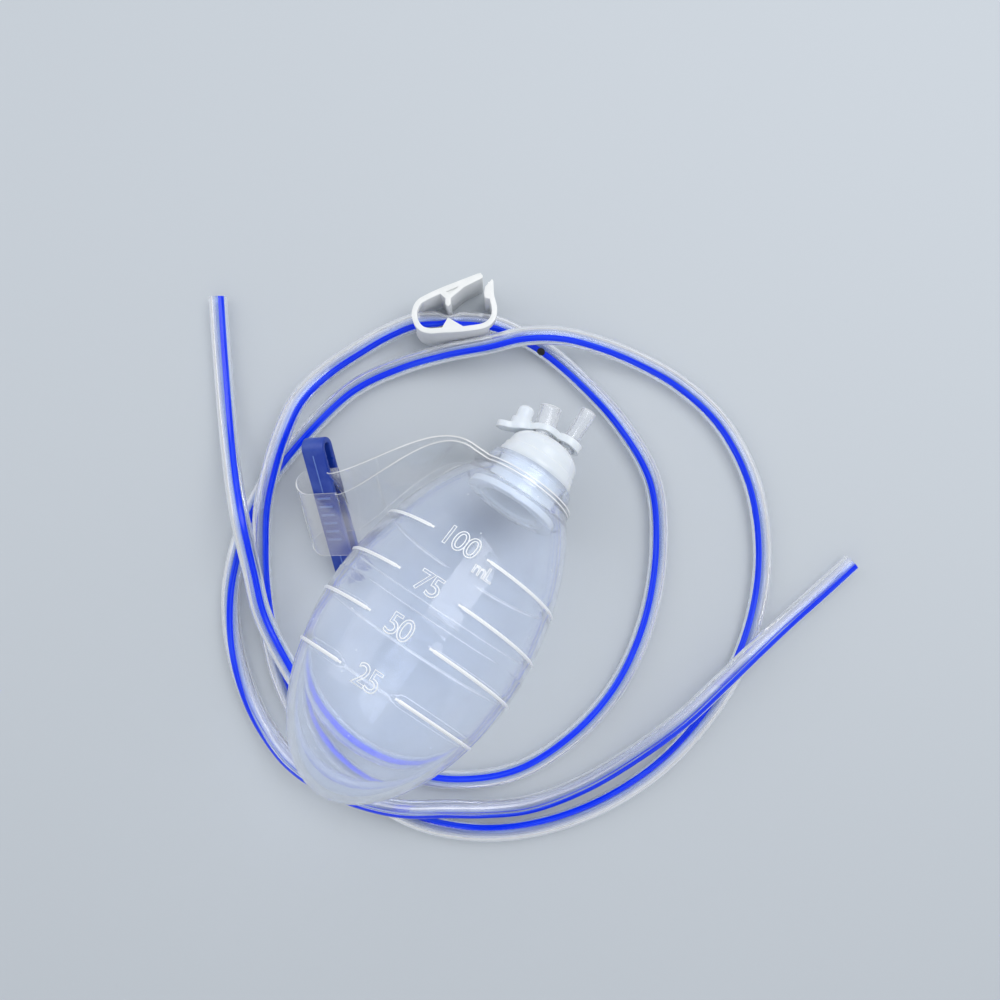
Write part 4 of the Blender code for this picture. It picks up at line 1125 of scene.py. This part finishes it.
class DRAINBULB_OT_stopper(bpy.types.Operator):
    """The stopper: eye, strap, peg and finger tab in one moulding"""

    bl_idname = "drainbulb.stopper"
    bl_label = "Stopper"

    def execute(self, context):
        settings = context.scene.drain_bulb
        ports, finish = settings.ports, settings.finish
        thick = ports.stopper_thickness
        line = [Vector((x * MM, 0, DOME_TOP + z * MM)) for x, z in STOPPER_LINE]
        sections = [(point, Vector((0, 1, 0)), self.half_width(point.x)) for point in smooth_curve(line, 9)]
        stopper = sheet_piece("stopper_moulding", sections, 6)
        modify(stopper, "SOLIDIFY", thickness=thick, offset=0)
        combine(stopper, spout_rod("spout_way", ports))
        eye = rod("stopper_eye", 3.65 * MM, line[0].z - 1.0 * MM, line[0].z + 1.0 * MM, 56)
        eye.data.transform(SPIGOT_SHIFT)
        combine(stopper, eye, "UNION")

        radius = SPOUT_RADIUS - ports.spout_wall + 0.15 * MM
        disc_top = 1.4 * MM + thick / 2
        profile = [(0, 0), (2.9 * MM, 0), (2.9 * MM, disc_top), (radius, disc_top)]
        profile += arc(ports.peg_rise - radius * 0.7, radius, radius * 0.7, 0, 82, 8)
        profile.append((0, ports.peg_rise))
        peg = spin_piece("stopper_peg", profile, 48)
        seat = next(point for point, entry in zip(line, STOPPER_LINE) if entry[0] * MM == PEG_OFFSET)
        peg.data.transform(Matrix.Translation(seat) @ Matrix.Rotation(-ports.peg_lean, 4, "Y"))
        combine(stopper, peg, "UNION")
        combine(stopper, spigot_rod("spigot_way"))
        soften(stopper, 0.22 * MM)
        milky = polyethylene("polyethylene, milky, moulded, thin", finish.milky, finish.painted_square_on_shade)
        settle(stopper, bulb_place(settings.bulb), "bulb_set", (milky,), ["stopper"])
        return {"FINISHED"}

    def half_width(self, offset):
        """Half the stopper's width in plan: the spout's eye, the neck, the peg's seat and the tab."""

        def disc(centre, radius):
            return math.sqrt(max(0.0, radius**2 - (offset - centre) ** 2))

        tab_centre = STOPPER_LINE[-1][0] * MM + TAB_HALF
        body = TAB_HALF if offset < PEG_OFFSET else 1.8 * MM
        if offset < tab_centre:
            body = disc(tab_centre, TAB_HALF)
        return max(body, disc(SPOUT_OFFSET, 4.4 * MM), disc(PEG_OFFSET, 3.0 * MM), 0.3 * MM)


def clip_frame():
    """The clip's frame: X down its arms, Z out of its front arm, the origin in the front arm's middle."""
    along = CLIP_ALONG.normalized()
    across = CLIP_FACE.cross(along).normalized()
    turn = Matrix((along, across, along.cross(across))).transposed().to_4x4()
    return Matrix.Translation(CLIP_CENTRE) @ turn


def strap_sections(bulb, strap):
    """The film's cross-sections in the bulb's frame: centre, side direction and half width."""
    clip = bulb_place(bulb).inverted() @ clip_frame()
    along, across, face = (clip.to_3x3().col[k].normalized() for k in range(3))
    centre = clip.translation
    half = strap.width / 2
    down = Vector((0, 1, 0))
    front_film = GROOVE_START + GAP + CAD_FILM / 2
    film_step = CAD_FILM + GAP
    front_offset = strap.clip_band / 2 + 0.25 * MM + GAP + CAD_FILM / 2
    back_offset = -CLIP_SPREAD / 2

    eye = []
    for offset in [EYE_RADIUS * math.cos(math.radians(a)) for a in range(3, 156, 4)] + [-STRAP_LEAVE]:
        width = max(math.sqrt(max(0.0, EYE_RADIUS**2 - offset**2)), half if offset < 0 else 0.0)
        eye.append((Vector((offset, 0, front_film)), down, width))

    leave = Vector((-STRAP_LEAVE, 0, front_film))
    arrive = centre + face * front_offset + across * (strap.clip_width / 2 + 2 * CAD_FILM)
    handles = (leave, leave - Vector((LEAVE_HANDLE, 0, 0)), arrive + across * ARRIVE_HANDLE, arrive)
    steps = 30
    front, behind = [], []
    for k in range(1, steps + 1):
        share = k / steps
        rest = 1 - share
        weights = (rest**3, 3 * rest**2 * share, 3 * rest * share**2, share**3)
        slopes = (-3 * rest**2, 3 * rest * (rest - 2 * share), 3 * share * (2 * rest - share), 3 * share**2)
        point = sum((w * handle for w, handle in zip(weights, handles)), Vector())
        ahead = sum((w * handle for w, handle in zip(slopes, handles)), Vector()).normalized()
        side = down.slerp(along, share)
        side = (side - ahead * side.dot(ahead)).normalized()
        out = side.cross(-ahead)
        front.append((point, side, half))
        apart = eased(film_step, front_offset - back_offset, share)
        behind.append((point - out * apart - side * eased(0, FOLD_SHIFT, share), side, half))

    middle = (front_offset + back_offset) / 2
    rise = (front_offset - back_offset) / 2
    fold = []
    for degrees in range(90, -91, -9):
        a = math.radians(degrees)
        place = centre - across * (strap.clip_width / 2 + CAD_FILM + FOLD_BULGE * math.cos(a))
        place += face * (middle + rise * math.sin(a)) - along * eased(0, FOLD_SHIFT, (90 - degrees) / 180)
        fold.append((place, along, half))
    step = Vector((0, 0, film_step))
    return_eye = [(point + step, side, width) for point, side, width in reversed(eye)]
    return eye + front + fold + behind[::-1] + return_eye


class DRAINBULB_OT_strap(bpy.types.Operator):
    """The clear hanging strap, doubled round the neck and folded through the clip"""

    bl_idname = "drainbulb.strap"
    bl_label = "Hanging Strap"

    def execute(self, context):
        settings = context.scene.drain_bulb
        strap = sheet_piece("strap_film", strap_sections(settings.bulb, settings.strap), 8)
        code = settings.finish.film
        strap.data.materials.append(clear_film("vinyl film, clear, calendered", code, 0.965, 0.92))
        strap.data.materials.append(clear_film("vinyl film, cut edge", code, 0.35, 0.5))
        modify(strap, "SOLIDIFY", thickness=settings.strap.film, offset=0, material_offset_rim=1)
        combine(strap, rod("strap_eye", NECK_RADIUS + GAP, GROOVE_START - GAP, GROOVE_END + GAP, 96))
        smooth(strap, 40)
        settle(strap, bulb_place(settings.bulb), "strap", (), ["hanging_strap"])
        return {"FINISHED"}


class DRAINBULB_OT_clip(bpy.types.Operator):
    """The blue hairpin clip with its grip ridges"""

    bl_idname = "drainbulb.clip"
    bl_label = "Hanging Clip"

    def execute(self, context):
        settings = context.scene.drain_bulb
        strap = settings.strap
        half = strap.clip_band / 2
        middle = -CLIP_SPREAD / 2
        outline = [(CLIP_END, -half - 0.5 * MM), (CLIP_END, half)]
        for radius, turn in ((CLIP_SPREAD / 2 + half, 1), (CLIP_SPREAD / 2 - half, -1)):
            angles = [math.radians(turn * (90 + 9 * k)) for k in range(21)]
            outline += [(-CLIP_BEND + radius * math.cos(a), middle + radius * math.sin(a)) for a in angles]
            if turn > 0:
                outline += [(CLIP_END, -CLIP_SPREAD - half), (CLIP_END, -CLIP_SPREAD + half)]
        outline.append((CLIP_END - 1.0 * MM, -half))
        wide = strap.clip_width / 2
        clip = flat_piece("clip_moulding", outline, -wide, wide)
        clip.data.transform(Matrix(((1, 0, 0, 0), (0, 0, -1, 0), (0, 1, 0, 0), (0, 0, 0, 1))))
        soften(clip, 0.35 * MM, 3)

        line, proud = (-0.22 * MM, 0.22 * MM), 0.16 * MM
        bars = [
            ((-CLIP_BEND + 1 * MM, -8.6 * MM), line, proud),
            ((9.2 * MM, CLIP_END - 1 * MM), line, proud),
        ]
        reach = strap.ridge_length / 2
        for k in range(strap.ridges):
            at = -1.4 * MM + ((strap.ridges - 1) / 2 - k) * strap.ridge_pitch
            bars.append(((at - 0.3 * MM, at + 0.3 * MM), (-reach, reach), 0.45 * MM))
        for along, across, proud in bars:
            bar = block("grip_ridge", along, across, half - 0.3 * MM, half + proud)
            soften(bar, 0.12 * MM)
            join(clip, [bar])
        # The tops of the grip ridges and edge lines take a paler blue: a painted highlight on the raised bars
        second_above(clip, half + 0.1 * MM)
        # Paler blue: the painted highlight of the ridge tops, and the bloom of the blue body
        paler_tone = "5B78C4"
        blue = coloured_plastic("acetal, blue, moulded", settings.finish.clip, paler_tone, 0.3)
        painted_highlight_ridge = coloured_plastic("acetal, blue, moulded, ridge with painted highlight", paler_tone, "8FA6DE", 0.35)
        settle(clip, clip_frame(), "clip", (blue, painted_highlight_ridge), ["hanging_clip"])
        return {"FINISHED"}


class DRAINBULB_PT_panel(bpy.types.Panel):
    """Lists the pieces and their settings"""

    bl_idname = "DRAINBULB_PT_panel"
    bl_label = "Wound Drain Bulb"
    bl_space_type = "VIEW_3D"
    bl_region_type = "UI"
    bl_category = "Drain Bulb"

    def draw(self, context):
        for step in STEPS:
            self.layout.operator(step.bl_idname)
        settings = context.scene.drain_bulb
        for group in ("bulb", "ports", "strap", "tube", "finish", "stage"):
            box = self.layout.box()
            box.label(text=group.title())
            values = getattr(settings, group)
            for name in values.__annotations__:
                box.prop(values, name)


# The camera and the cord come first
STEPS = (
    DRAINBULB_OT_stage,
    DRAINBULB_OT_tube,
    DRAINBULB_OT_bulb,
    DRAINBULB_OT_cap,
    DRAINBULB_OT_ports,
    DRAINBULB_OT_stopper,
    DRAINBULB_OT_strap,
    DRAINBULB_OT_clip,
)
GROUPS = (BulbSettings, PortSettings, StrapSettings, TubeSettings, FinishSettings, StageSettings, DrainBulbSettings)


def register():
    for item in (*GROUPS, *STEPS, DRAINBULB_PT_panel):
        bpy.utils.register_class(item)
    bpy.types.Scene.drain_bulb = PointerProperty(type=DrainBulbSettings)


def unregister():
    del bpy.types.Scene.drain_bulb
    for item in reversed((*GROUPS, *STEPS, DRAINBULB_PT_panel)):
        bpy.utils.unregister_class(item)


def main():
    """Builds the set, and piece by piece."""
    register()
    bpy.ops.drainbulb.stage()
    bpy.ops.drainbulb.tube()
    bpy.ops.drainbulb.bulb()
    bpy.ops.drainbulb.cap()
    bpy.ops.drainbulb.ports()
    bpy.ops.drainbulb.stopper()
    bpy.ops.drainbulb.strap()
    bpy.ops.drainbulb.clip()


if __name__ == "__main__":
    main()
